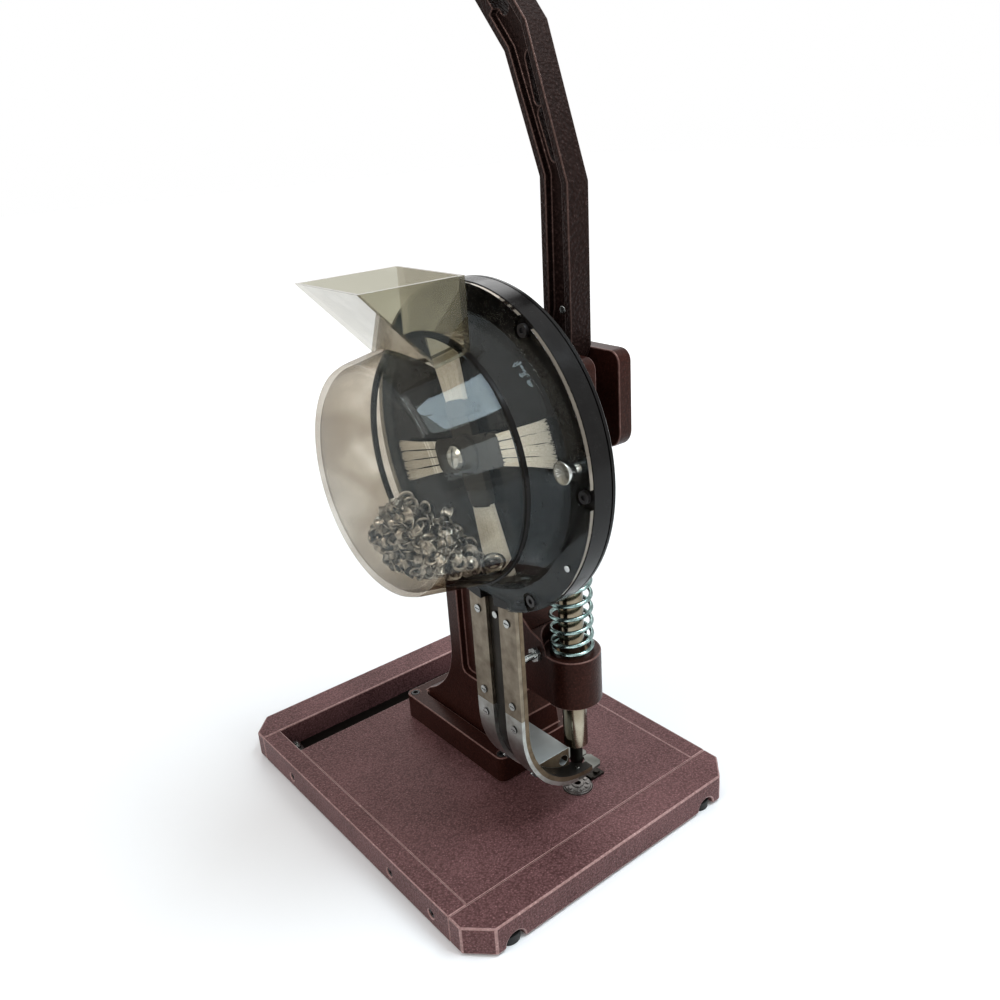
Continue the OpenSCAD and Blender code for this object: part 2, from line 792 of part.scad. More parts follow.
module pivot_shaft() {
    color(steel) press() difference() {
        xbar(pivot, pivot_r, crank_x - crank_t, cheek_x + bush_flange_t + 6.3);
        ybar([0, pivot[1]], pin_r, pivot[0] - hub_r, pivot[0] + hub_r);
    }
}

module shaft_collar() {
    color(steel) press() difference() {
        xbar(pivot, 12, cheek_x + bush_flange_t + 0.3, cheek_x + bush_flange_t + 6.3);
        xbar(pivot, pivot_r, cheek_x, cheek_x + 20);
    }
}

module drive_crank() {
    color(steel) press() difference() {
        union() {
            xbar(pivot, crank_hub_r, crank_x - crank_t, crank_x);
            strap(pivot, pivot + crank_tip, crank_eye_r, crank_x - crank_t, crank_x);
        }
        xbar(pivot, pivot_r, crank_x - 20, crank_x + 20);
        xbar(pivot + crank_tip, crank_pin_r, crank_x - 20, crank_x + 20);
    }
}

module crank_pin() {
    color(zinc) press() {
        xbar(pivot + crank_tip, crank_pin_r, link_x - link_t - 0.6, crank_x);
        xbar(pivot + crank_tip, 4.5, link_x - link_t - 2, link_x - link_t - 0.3);
    }
}

module link() {
    color(steel) press() difference() {
        strap(pivot + crank_tip, drum_axis + crank_tip, 6.5, link_x - link_t, link_x);
        xbar(pivot + crank_tip, crank_pin_r + link_fit, link_x - 20, link_x + 20);
        xbar(drum_axis + crank_tip, crank_pin_r + open_fit, link_x - 20, link_x + 20);
    }
}

module handle_bar() {
    color(zinc) press() translate([0, arm_tip[0], arm_tip[1]]) rotate([-lean, 0, 0])
        translate([0, 0, -bar_in]) cylinder(r = bar_r, h = bar_in + grip_from + grip_l - 6);
}

module handle_grip() {
    color(rubber) press() translate([0, arm_tip[0], arm_tip[1]]) rotate([-lean, 0, 0])
        translate([0, 0, grip_from]) rotate_extrude() polygon(concat(
            [[bar_r, 0], [grip_r - 1.5, 0], [grip_r - 0.5, 3], [grip_r - 1, 20], [grip_r, grip_l * 0.6]],
            arc([grip_r - 8, grip_l - 8], 8, 0, 90, 6),
            [[0, grip_l], [0, grip_l - 6], [bar_r, grip_l - 6]]));
}

// ---- Brush drive ----

module rotor_crank() {
    color(steel) press() difference() {
        union() {
            xbar(drum_axis, crank_hub_r, rotor_crank_x - rotor_crank_t, rotor_crank_x);
            strap(drum_axis, drum_axis + crank_tip, crank_eye_r, rotor_crank_x - rotor_crank_t, rotor_crank_x);
        }
        xbar(drum_axis, rotor_r, rotor_crank_x - 20, rotor_crank_x + 20);
        xbar(drum_axis + crank_tip, crank_pin_r, rotor_crank_x - 20, rotor_crank_x + 20);
    }
}

module rotor_pin() {
    color(zinc) press() {
        xbar(drum_axis + crank_tip, crank_pin_r, rotor_crank_x - rotor_crank_t, link_x + 0.6);
        xbar(drum_axis + crank_tip, 4.5, link_x + 0.3, link_x + 1.6);
    }
}

module rotor_shaft() { color(steel) press() xbar(drum_axis, rotor_r, -hub_face, rotor_crank_x - 0.3); }

module brush_hub() {
    color(black) press() difference() {
        union() {
            turned([[0, brush_u[0] - 0.5], [hub_body_r, brush_u[0] - 0.5], [hub_body_r, brush_u[1] + 2],
                [hub_neck_r, hub_face], [0, hub_face]]);
            for (a = brush_angles) at_drum(a - 90)
                box([-brush_u[1], -spoke_w / 2, 8], [-brush_u[0], spoke_w / 2, holder_r[0]]);
        }
        xbar(drum_axis, rotor_r, -hub_face - 1, -disc_face);
    }
}

module hub_screw() {
    color(zinc) press() difference() {
        turned([[0, hub_face], [8, hub_face], [8, hub_face + 1.5], [6, hub_face + 3.5], [0, hub_face + 4]]);
        translate([-hub_face - 5, -0.7, drum_z - 7]) cube([2.5, 1.4, 14]);
    }
}

// Bristle from p to q, a long three-sided prism
module bristle(p, q) {
    d = q - p;
    translate(p) rotate([0, acos(d[2] / norm(d)), atan2(d[1], d[0])]) cylinder(r = 0.34, h = norm(d), $fn = 3);
}

// Holder with its tufts; every bristle leans out in proportion to its place, so none cross
module brush() {
    mid = -(brush_u[0] + brush_u[1]) / 2;
    step = 0.8;
    fan = 1.35;
    spread = 1.1;
    tuft_pitch = (tuft_across + 0.6) * step;
    box([-brush_u[1], -holder_w / 2, holder_r[0]], [-brush_u[0], holder_w / 2, holder_r[1]]);
    for (t = [0 : tufts - 1], i = [0 : tuft_across - 1], j = [0 : tuft_through - 1]) {
        y = (t - (tufts - 1) / 2) * tuft_pitch + (i - (tuft_across - 1) / 2) * step;
        x = (j - (tuft_through - 1) / 2) * step;
        tip = sqrt(pow(brush_r, 2) - pow(fan * y, 2)) - (i + 2 * j) % 3;
        bristle([mid + x, y, holder_r[1] - 1], [mid + spread * x, fan * y, tip]);
    }
}

module brushes() {
    color("#e9e4d2") press() for (a = brush_angles) at_drum(a - 90) brush();
}

// ---- Drum ----

module drum_standoffs() {
    color(zinc) press() for (p = standoffs) difference() {
        xbar(p, standoff_r, -disc_rear, -cheek_x);
        xbar(p, standoff_bolt_r, -disc_rear - 1, 0);
    }
}

module standoff_bolts() {
    color(black) press() for (p = standoffs) {
        xbar(p, standoff_bolt_r, -disc_face + 3, -cheek_x + 8);
        xbar(p, bolt_head_r, -disc_face + 0.5, -disc_face + 4);
    }
}

module back_disc() {
    color(black) press() difference() {
        union() {
            turned([[disc_bush_r, disc_boss_u], [disc_boss_r, disc_boss_u], [disc_boss_r, disc_rear],
                [disc_r - 1.5, disc_rear], [disc_r, disc_rear + 1.5], [disc_r, disc_rear + 3.5],
                [disc_r - 1.2, disc_rear + 3.5], [disc_r - 1.2, disc_rear + 4.5], [disc_r, disc_rear + 4.5],
                [disc_r, disc_face], [disc_bush_r, disc_face]]);
            box([-inner_r, -lug_w / 2, drum_z - disc_r - 18], [-disc_rear, lug_w / 2, drum_z - disc_r + 8]);
        }
        box([-disc_face - 1, -track_slot / 2, drum_z - disc_r - 1], [-seat_r, track_slot / 2, drum_z - disc_r + 30]);
        for (p = standoffs) {
            xbar(p, standoff_bolt_r, -disc_face - 1, -disc_rear + 1);
            xbar(p, bolt_head_r, -disc_face - 1, -disc_face + 4);
        }
        for (a = notch_angles) at_drum(a - 90) xbar([0, notch_r], 2, -disc_face - 1, -disc_face + 6);
        at_drum(knob_angle - 90) xbar([0, knob_at], 2, -disc_face - 1, -disc_face + 8);
        at_drum(pin_angle - 90) xbar([0, notch_r], 1.5, -disc_face - 1, -disc_face + 5);
        xbar([0, strip_screw_zs[0]], screw_r, -inner_r - 1, -disc_rear + 1);
    }
}

module disc_bush() {
    color(bronze) press() difference() {
        turned([[0, disc_boss_u - 2], [11, disc_boss_u - 2], [11, disc_boss_u], [disc_bush_r, disc_boss_u],
            [disc_bush_r, disc_face], [0, disc_face]]);
        xbar(drum_axis, rotor_r + shaft_fit, -disc_face - 1, -disc_boss_u + 3);
    }
}

// Outside of the clear drum, from its flange to its front
drum_skin = [[0, disc_face], [cover_root_r, disc_face], [cover_root_r, cover_face], [seam_r, seam_u],
    [seam_r, seam_u + seal_w], [shoulder_r, shoulder_u], [shoulder_r - 5, shoulder_u + 5], [0, nose_u]];

module drum_cover() {
    color(clear) press() difference() {
        turned([[cover_root_r - clear_t, disc_face], [disc_r - 0.5, disc_face], [disc_r - 0.5, cover_face],
            [cover_root_r, cover_face], [seam_r, seam_u], [seam_r - clear_t, seam_u],
            [cover_root_r - clear_t, cover_face]]);
        box([-cover_face - 1, -track_w / 2 - 0.5, 0], [-disc_face + 1, track_w / 2 + 0.5, drum_z - disc_r + 10]);
        for (a = notch_angles) at_drum(a - 90) {
            xbar([0, notch_r], notch_half_w, -cover_face - 1, -disc_face + 1);
            box([-cover_face - 1, -notch_half_w, notch_r], [-disc_face + 1, notch_half_w, disc_r]);
        }
        at_drum(pin_angle - 90) xbar([0, notch_r], 1.7, -cover_face - 1, -disc_face + 1);
        at_drum(knob_angle - 90) xbar([0, knob_at], 2.2, -cover_face - 1, -disc_face + 1);
    }
}

module drum_seal() {
    color(black) press()
    turned([[seam_r - clear_t, seam_u], [seam_r + 1.2, seam_u], [seam_r + 1.2, seam_u + seal_w],
        [seam_r - clear_t, seam_u + seal_w]]);
}

module drum_bowl() {
    inside = shoulder_u + 5 - clear_t;
    color(clear) press() difference() {
        turned([[seam_r - clear_t, seam_u + seal_w], [seam_r, seam_u + seal_w], [shoulder_r, shoulder_u],
            [shoulder_r - 1.4, shoulder_u + 3.6], [shoulder_r - 5, shoulder_u + 5], [0, nose_u],
            [0, nose_u - clear_t], [shoulder_r - 6, inside], [shoulder_r - clear_t, shoulder_u - 1]]);
        box([-feed_hole[0][1], -feed_hole[1] / 2, drum_z + shoulder_r / 2],
            [-feed_hole[0][0], feed_hole[1] / 2, drum_z + cover_root_r]);
    }
}

// Funnel with an upright back, a slanted front and two side walls, cut to sit on the drum
module funnel() {
    inside = [funnel_wall[0] + [clear_t, -1], funnel_wall[1] + [clear_t, 1], funnel_wall[2] + [1 - clear_t, 1],
        funnel_wall[3] + [-clear_t, 1], funnel_wall[4] + [-clear_t, -1]];
    color(clear) press() difference() {
        translate([0, funnel_w / 2, 0]) rotate([90, 0, 0]) linear_extrude(funnel_w)
            polygon([for (p = funnel_wall) [-p[0], p[1]]]);
        translate([0, funnel_w / 2 - clear_t, 0]) rotate([90, 0, 0]) linear_extrude(funnel_w - 2 * clear_t)
            polygon([for (p = inside) [-p[0], p[1]]]);
        turned([for (p = drum_skin) p[0] == 0 ? p : p + [0.1, 0]]);
        turned([[0, seam_u - 0.1], [seam_r + 1.3, seam_u - 0.1],
            [seam_r + 1.3, seam_u + seal_w + 0.1], [0, seam_u + seal_w + 0.1]]);
    }
}

module cover_screws() {
    color(black) press() for (a = notch_angles) at_drum(a - 90) difference() {
        union() {
            xbar([0, notch_r], 2, -disc_face - 1, -disc_face + 6);
            xbar([0, notch_r], 4, -cover_face + 0.6, -disc_face);
        }
        translate([-cover_face + 2, 0, notch_r]) rotate([0, -90, 0]) hex_head(2, 3);
    }
}

// Flared knob with a dished face, and the small screw further down the flange
module thumb_knob() {
    color(zinc) press() {
        at_drum(knob_angle - 90) {
            xbar([0, knob_at], 2, -cover_face - 1, -disc_face + 8);
            translate([-cover_face, 0, knob_at]) rotate([0, -90, 0]) rotate_extrude() polygon([
                [0, 0], [4.2, 0], [3.8, 4], [knob_r, knob_h - 1.5], [knob_r, knob_h], [knob_r - 1.2, knob_h], [0, knob_h - 1.6]]);
        }
        at_drum(pin_angle - 90) {
            xbar([0, notch_r], 1.5, -cover_face - 0.5, -disc_face + 5);
            xbar([0, notch_r], 2.2, -cover_face - 1.2, -cover_face);
        }
    }
}

// ---- Track ----

// Straight length of track between depths x0 and x1, from the joint up to the drum
module track_run(x0, x1, y0, y1) {
    difference() {
        box([x0, y0, joint_z], [x1, y1, drum_z - disc_r + 10]);
        xbar(drum_axis, disc_r + track_top_gap, -disc_face - 5, -disc_rear + 20);
    }
}

// Quarter bend between two radii, with a short straight part above it
module bend_run(r0, r1) {
    translate([0, 0, bend_z]) rotate([90, 0, 0]) translate([0, 0, -track_w / 2]) intersection() {
        difference() {
            cylinder(r = r1, h = track_w, $fn = 128);
            translate([0, 0, -1]) cylinder(r = r0, h = track_w + 2, $fn = 128);
        }
        translate([-r1 - 1, -r1 - 1, 0]) cube([r1 + 1, r1 + 1, track_w]);
    }
    box([-r1, -track_w / 2, bend_z], [-r0, track_w / 2, joint_z]);
}

// Plan of the bend, which narrows towards its tip
module bend_plan() {
    taper = track_w / 2;
    linear_extrude(joint_z + 1) polygon([[-bend_r - 1, -taper], [-bend_r * 0.8, -taper + 0.5], [-20, -taper + 5],
        [0, -taper + 7], [0, taper - 7], [-20, taper - 5], [-bend_r * 0.8, taper - 0.5], [-bend_r - 1, taper]]);
}

module track_upper() {
    color(zinc) press() difference() {
        track_run(-seat_r, -inner_r, -track_w / 2, track_w / 2);
        for (y = [-1, 1], z = strip_screw_zs)
            xbar([y * (track_slot + strip_w) / 2, z], screw_r, -seat_r - 1, -inner_r + 1);
        xbar([0, strip_screw_zs[0]], screw_r, -seat_r - 1, -inner_r + 1);
    }
}

module track_strips() {
    color(zinc) press() for (side = [0, 1]) mirror([0, side, 0]) difference() {
        track_run(-bend_r, -seat_r, track_slot / 2, track_w / 2);
        for (z = strip_screw_zs) {
            at = [(track_slot + strip_w) / 2, z];
            xbar(at, screw_r, -bend_r - 1, -seat_r + 1);
            xbar(at, screw_head_r, -bend_r - 1, -bend_r + screw_sink);
        }
    }
}

// Screw of the track, at the outer face of a strip and pointing inwards along -Z
module track_screw(l) {
    difference() {
        union() {
            translate([0, 0, -screw_sink]) cylinder(r = screw_head_r, h = screw_head_h);
            translate([0, 0, -l]) cylinder(r = screw_r, h = l);
        }
        translate([-0.4, -2.4, screw_head_h - screw_sink - 0.7]) cube([0.8, 4.8, 2]);
    }
}

// Turns a screw to stand on the bend at an angle below level, at y
module on_bend(angle, y) {
    translate([0, y, bend_z]) rotate([0, -90 - angle, 0]) translate([0, 0, bend_r]) children();
}

module track_screws() {
    across = (track_slot + strip_w) / 2;
    color(black) press() {
        for (y = [-across, across], z = concat(strip_screw_zs, straight_screw_z))
            translate([-bend_r, y, z]) rotate([0, -90, 0]) track_screw(strip_t + track_base_t);
        for (y = [-across, across], a = bend_screw_angles) on_bend(a, y) track_screw(strip_t + track_base_t);
        translate([-seat_r, 0, strip_screw_zs[0]]) rotate([0, -90, 0]) {
            translate([0, 0, -8]) cylinder(r = screw_r, h = 8);
            cylinder(r = 2.6, h = 1.2);
        }
    }
}

module bend_holes(r) {
    for (side = [-1, 1]) {
        y = side * (track_slot + strip_w) / 2;
        for (a = bend_screw_angles) on_bend(a, y)
            translate([0, 0, -strip_t - track_base_t - 1]) cylinder(r = r, h = strip_t + track_base_t + 2);
        xbar([y, straight_screw_z], r, -bend_r - 1, -inner_r + 1);
    }
}

module track_bend() {
    color(zinc) press() difference() {
        intersection() {
            bend_run(inner_r, seat_r);
            bend_plan();
        }
        translate([0, 0, gate_z - 1]) cylinder(r = ram_r + 1.1, h = 20);
        bend_holes(screw_r);
        for (y = [-1, 1]) translate([gate_pivot[0], y * gate_pivot[1], gate_z]) cylinder(r = gate_pin_r, h = 12);
    }
}

module bend_strips() {
    color(zinc) press() for (side = [0, 1]) mirror([0, side, 0]) difference() {
        intersection() {
            bend_run(seat_r, bend_r);
            bend_plan();
            box([-bend_r - 1, track_slot / 2, 0], [strip_end_x, track_w, joint_z + 1]);
        }
        bend_holes(screw_r);
        for (a = bend_screw_angles) on_bend(a, (track_slot + strip_w) / 2)
            translate([0, 0, -screw_sink]) cylinder(r = screw_head_r, h = screw_sink + 1);
        xbar([(track_slot + strip_w) / 2, straight_screw_z], screw_head_r, -bend_r - 1, -bend_r + screw_sink);
    }
}

// Polished block inside the bend, with a tongue that reaches the casting
module track_block() {
    color(steel) press() difference() {
        union() {
            box([-45, -6, block_z[0]], [-13.3, 40, block_z[1]]);
            box([-25, 39, block_z[0]], [-13.3, pedestal_front, block_z[1]]);
        }
        translate([0, 0, bend_z]) rotate([90, 0, 0]) difference() {
            translate([0, 0, -60]) cylinder(r = bend_r + 60, h = 120);
            translate([0, 0, -61]) cylinder(r = inner_r, h = 122, $fn = 128);
        }
        ybar(block_bolt_at, bolt_r, 0, pedestal_front + 1);
        ybar(block_bolt_at, bolt_head_r + 0.2, -7, pedestal_front - 20);
    }
}

module track_stay() {
    color(zinc) press() {
        xbar(stay_at, stay_r, -inner_r, -arm_w / 2 + 5);
        xbar(stay_at, 7, -inner_r, -inner_r + 3);
        translate([-arm_w / 2 - 4, stay_at[0], stay_at[1]]) rotate([0, 90, 0]) hex_head(6, 4);
    }
}

// Gate that closes half of the track's mouth under the punch, on the rear side. Its mouth is cut
// where the punch would stand as the gate swings open.
module gate() {
    px = gate_pivot[0];
    py = gate_pivot[1];
    color(steel) translate([0, 0, gate_z]) difference() {
        union() {
            translate([px, py, 0]) cylinder(r = gate_eye_r, h = gate_t);
            linear_extrude(gate_t) polygon([[px, py - gate_eye_r], [px + 4, 7.6], [-6, 0.4], [11, 0.4],
                [13, 3], [13, tip_half_w - 3], [10, tip_half_w], [px, py + gate_eye_r]]);
        }
        for (i = [0 : 4]) translate([px, py, -1]) rotate(-gate_swing * i / 4) translate([-px, -py, 0])
            cylinder(r = gate_mouth_r, h = gate_t + 2);
        translate([px, py, -1]) cylinder(r = gate_pin_r + shaft_fit, h = gate_t + 2);
    }
}

module gate_rear() { press() gate(); }

module gate_front() { press() mirror([0, 1, 0]) gate(); }

module gate_pins() {
    color(zinc) press() for (y = [-1, 1]) translate([gate_pivot[0], y * gate_pivot[1], gate_z]) {
        translate([0, 0, -0.6]) cylinder(r = gate_pin_r, h = 9);
        translate([0, 0, -1.6]) cylinder(r = 3, h = 1.3);
    }
}

rubber_feet();
front_cap();
rear_cap();
side_rail_left();
side_rail_right();
table_plate();
bottom_cover();
bed_bar();
cross_beams();
side_screws();
cover_bolts();
c_frame();
frame_bolts();
guide_bush();
cheek_bushes();
stop_screw();
ram();
roller();
roller_pin();
spring_collar();
ram_screws();
return_spring();
upper_punch();
lower_die();
die_clamp();
lever_arm();
lever_pins();
pivot_shaft();
shaft_collar();
drive_crank();
crank_pin();
link();
rotor_crank();
rotor_pin();
rotor_shaft();
handle_bar();
handle_grip();
drum_standoffs();
standoff_bolts();
back_disc();
disc_bush();
drum_cover();
drum_seal();
drum_bowl();
funnel();
cover_screws();
thumb_knob();
brush_hub();
brushes();
hub_screw();
track_upper();
track_strips();
track_bend();
bend_strips();
track_screws();
track_block();
track_stay();
gate_front();
gate_rear();
gate_pins();
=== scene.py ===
# %% [markdown]
# # A bench eyelet machine
# A hand press for setting eyelets: a cast frame with a lever and a ram, a clear drum that is
# swept by brushes, and a slotted track that brings one eyelet at a time under the punch.
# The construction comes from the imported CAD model. This lesson gives it its finishes, rounds its
# edges, and makes finer forms for bristles, spring wire and brush holders, and the loose eyelets.

import json
import math

import bpy
import bmesh
import numpy as np
from mathutils import Matrix, Vector

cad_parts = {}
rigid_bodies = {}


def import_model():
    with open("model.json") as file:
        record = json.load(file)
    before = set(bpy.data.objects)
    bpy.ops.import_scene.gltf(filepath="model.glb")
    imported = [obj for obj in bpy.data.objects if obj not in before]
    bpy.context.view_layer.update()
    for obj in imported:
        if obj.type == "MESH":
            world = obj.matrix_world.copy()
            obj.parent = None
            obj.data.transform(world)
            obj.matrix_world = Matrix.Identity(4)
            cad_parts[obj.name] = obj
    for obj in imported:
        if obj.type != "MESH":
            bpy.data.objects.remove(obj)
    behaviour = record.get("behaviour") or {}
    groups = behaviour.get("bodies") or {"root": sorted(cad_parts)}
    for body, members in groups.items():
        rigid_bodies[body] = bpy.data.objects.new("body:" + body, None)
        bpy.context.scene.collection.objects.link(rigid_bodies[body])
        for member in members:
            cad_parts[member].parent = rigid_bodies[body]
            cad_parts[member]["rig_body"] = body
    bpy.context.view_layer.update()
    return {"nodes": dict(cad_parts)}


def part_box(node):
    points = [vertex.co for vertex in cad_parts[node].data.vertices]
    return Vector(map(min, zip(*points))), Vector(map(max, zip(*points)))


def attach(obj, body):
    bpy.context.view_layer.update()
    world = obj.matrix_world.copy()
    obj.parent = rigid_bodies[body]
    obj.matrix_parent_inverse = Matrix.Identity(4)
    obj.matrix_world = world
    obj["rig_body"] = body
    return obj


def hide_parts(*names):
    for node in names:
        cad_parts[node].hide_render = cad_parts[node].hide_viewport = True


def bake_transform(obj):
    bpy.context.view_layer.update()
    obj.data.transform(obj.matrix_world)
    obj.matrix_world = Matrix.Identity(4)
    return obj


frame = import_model()

# %% [markdown]
# ## Camera
# The photograph was taken from the operator's left, a little above the drum. A camera is a place,
# three axes and a lens. The axes are written as the columns of a rotation matrix.

# %% Camera
EYE = Vector((-0.39711, -0.57150, 0.53160))
RIGHT = Vector((0.7746, -0.6289, -0.0634))
BACK = Vector((-0.5659, -0.7345, 0.3745))
LENS_MM = 34.69

camera_data = bpy.data.cameras.new("camera")
camera_data.lens = LENS_MM
camera_data.sensor_width = 36
camera = bpy.data.objects.new("camera", camera_data)
axes = Matrix((RIGHT, BACK.cross(RIGHT), BACK)).transposed()
camera.matrix_world = Matrix.Translation(EYE) @ axes.to_4x4()
bpy.context.scene.collection.objects.link(camera)
bpy.context.scene.camera = camera
print("camera looks along", tuple(round(-v, 3) for v in BACK))

# %% [markdown]
# ## Shader maths as Python
# Blender's Math nodes are awkward to read. A small class wraps one socket and overloads the
# operators, so a mask is written as an expression and the nodes appear by themselves.


# %% Sockets with operators
class Sock:
    """One output socket that adds a Math node for each operator."""

    def __init__(self, graph, link):
        self.graph = graph
        self.link = link

    def math(self, operation, *others, clamp=False):
        """A Math node on this socket and the others, which may be sockets or numbers."""
        inputs = dict(enumerate((self, *others)))
        return self.graph.node("ShaderNodeMath", inputs, operation=operation, use_clamp=clamp)

    def __add__(self, other):
        return self.math("ADD", other)

    def __sub__(self, other):
        return self.math("SUBTRACT", other)

    def __mul__(self, other):
        return self.math("MULTIPLY", other)

    def __pow__(self, other):
        return self.math("POWER", other)

    def __rsub__(self, other):
        return self.graph.node("ShaderNodeMath", {0: other, 1: self}, operation="SUBTRACT")

    __radd__ = __add__
    __rmul__ = __mul__

    def clamp(self):
        return self.math("ADD", 0.0, clamp=True)

    def between(self, low, high):
        """0 below low, 1 above high, and a straight line between them."""
        return ((self - low) * (1 / (high - low))).clamp()


# Sockets of a colour Mix node, which Blender tells apart by number only.
MIX_FACTOR, MIX_DARK, MIX_LIGHT, MIX_RESULT = 0, 6, 7, 2


class Graph:
    """A node tree under construction, with one method that adds any node."""

    def __init__(self, tree):
        self.tree = tree

    def node(self, kind, inputs=None, output=0, **settings):
        """Adds a node: its settings first, then the values or links of its sockets."""
        made = self.tree.nodes.new(kind)
        for name, value in settings.items():
            setattr(made, name, value)
        for key, value in (inputs or {}).items():
            if isinstance(value, Sock):
                self.tree.links.new(value.link, made.inputs[key])
            else:
                made.inputs[key].default_value = value
        return Sock(self, made.outputs[output])

    def mix(self, factor, dark, light):
        """Colour from dark to light, by a factor between 0 and 1."""
        dark, light = (c if isinstance(c, Sock) else (*c, 1) for c in (dark, light))
        inputs = {MIX_FACTOR: factor, MIX_DARK: dark, MIX_LIGHT: light}
        return self.node("ShaderNodeMix", inputs, output=MIX_RESULT, data_type="RGBA")

    def seen(self):
        """1 for rays from the camera and for those that gloss or glass passes on, else 0."""
        kinds = ("Camera", "Glossy", "Transmission")
        camera_ray, gloss_ray, glass_ray = (
            self.node("ShaderNodeLightPath", output=f"Is {kind} Ray") for kind in kinds
        )
        return (camera_ray + gloss_ray + glass_ray).clamp()


class Finish(Graph):
    """A Principled material, with the fixed values of its sockets set by name."""

    def __init__(self, name, roughness=0.5, metallic=0.0, **fixed):
        self.material = bpy.data.materials.new(name)
        self.material.use_nodes = True
        super().__init__(self.material.node_tree)
        self.shader = self.tree.nodes["Principled BSDF"]
        self.set("Roughness", roughness)
        self.set("Metallic", metallic)
        for socket, value in fixed.items():
            self.shader.inputs[socket.replace("_", " ")].default_value = value

    def set(self, socket, value):
        """Gives a socket of the shader a value or a link, and returns the finish."""
        if isinstance(value, Sock):
            self.tree.links.new(value.link, self.shader.inputs[socket])
        else:
            self.shader.inputs[socket].default_value = value
        return self

    def place(self, stretch=(1, 1, 1)):
        """Object coordinates, in metres, stretched along the axes."""
        where = self.node("ShaderNodeTexCoord", output="Object")
        return self.node("ShaderNodeMapping", {"Vector": where, "Scale": stretch})

    def noise(self, size, detail=3.0, stretch=(1, 1, 1), rough=0.5):
        """Cloudy noise whose blobs are about size metres across."""
        where = self.place(stretch)
        inputs = {"Vector": where, "Scale": 1 / size, "Detail": detail, "Roughness": rough}
        return self.node("ShaderNodeTexNoise", inputs)

    def cells(self, size):
        """Smoothed distance to the nearest of a crowd of points about size metres apart."""
        inputs = {"Vector": self.place(), "Scale": 1 / size, "Randomness": 1.0}
        return self.node("ShaderNodeTexVoronoi", inputs, feature="SMOOTH_F1")

    def bump(self, height, depth):
        """Turns a height from 0 to 1 into a tilt of the surface; depth is in metres."""
        inputs = {"Height": height, "Distance": depth, "Strength": 1.0}
        return self.set("Normal", self.node("ShaderNodeBump", inputs))


print("helpers:", Sock.__name__, Graph.__name__, Finish.__name__)


# %% [markdown]
# ## Wrinkle paint
# The casting, lever and table carry a baked paint that shrinks into fine grains. Painted shade
# makes it nearly black in the hollows; the grains are reddish brown, with painted glints where they
# would catch the light. Cells give the grains, and a slow noise keeps the colour from looking
# printed.


# %% Wrinkle paint
WARM_GLOSS = (1, 0.6, 0.5, 1)


def wrinkle_paint(
    name, dark, light, grain=0.002, depth=0.0003, roughness=0.42, painted_glint=0.8, shine=0.12
):
    """Grains from smooth cells, painted glints on their tops, and slow clouds.

    A top is 0.7 of the grains and 0.5 of a finer noise, less 0.15. The colour follows 0.75 of the
    tops and 0.25 of the clouds, a painted shade in the hollows. Glints go where grains times fine
    noise is high.
    """
    finish = Finish(name, Specular_IOR_Level=shine, Specular_Tint=WARM_GLOSS)
    grains = 1 - finish.cells(grain).between(0.05, 0.62)
    fine = finish.noise(grain * 0.45, detail=2)
    cloud = finish.noise(0.06, detail=2).between(0.3, 0.7)
    tops = (grains * 0.7 + fine * 0.5 - 0.15).clamp()
    painted_glints = (fine * grains).between(0.42, 0.62) * painted_glint
    # Painted shade: the colour runs from dark in the hollows to light on the grain tops; painted
    # glints go over it.
    colour = finish.mix((tops * 0.75 + cloud * 0.25).clamp(), dark, light)
    pale = tuple(min(1, 2.2 * c + 0.012) for c in light)
    finish.set("Base Color", finish.mix(painted_glints, colour, pale))
    finish.set("Roughness", (roughness + 0.1 * fine - 0.1 * tops).clamp())
    return finish.bump(tops, depth).material


casting_paint = wrinkle_paint(
    "casting paint", (0.010, 0.003, 0.0022), (0.040, 0.0125, 0.009),
    grain=0.0015, depth=0.0001, roughness=0.32, painted_glint=0.35,
)
table_paint = wrinkle_paint(
    "table paint", (0.036, 0.015, 0.0145), (0.205, 0.1, 0.102),
    grain=0.0014, painted_glint=0.65, shine=0.16,
)
lever_paint = wrinkle_paint(
    "lever paint", (0.0025, 0.0012, 0.001), (0.0165, 0.0083, 0.0072),
    grain=0.0021, depth=0.0008, painted_glint=1.0, shine=0.09,
)

# The same paints, lighter and glossier, as a painted highlight on the rounded edges.
EDGE_HIGHLIGHTS = {
    casting_paint: wrinkle_paint(
        "casting edge highlight", (0.05, 0.022, 0.018), (0.18, 0.1, 0.088),
        depth=0.0001, roughness=0.28, painted_glint=0.4, shine=0.5,
    ),
    table_paint: wrinkle_paint(
        "table edge highlight", (0.17, 0.095, 0.088), (0.42, 0.27, 0.26),
        depth=0.0001, roughness=0.34, painted_glint=0.4, shine=0.5,
    ),
    lever_paint: wrinkle_paint(
        "lever edge highlight", (0.012, 0.007, 0.006), (0.06, 0.038, 0.034), roughness=0.3, shine=0.5
    ),
}
print("paints:", casting_paint.name, table_paint.name, lever_paint.name)

# %% [markdown]
# ## Metals
# Bare metals differ mostly in roughness, and each drifts between two tones. The polished ram is
# drawn along its length, so its noise is stretched that way. Zinc plate has faint clouds, and the
# spring's plating shifts to green and blue. Where a surface turns away from view, painted shade
# darkens it.


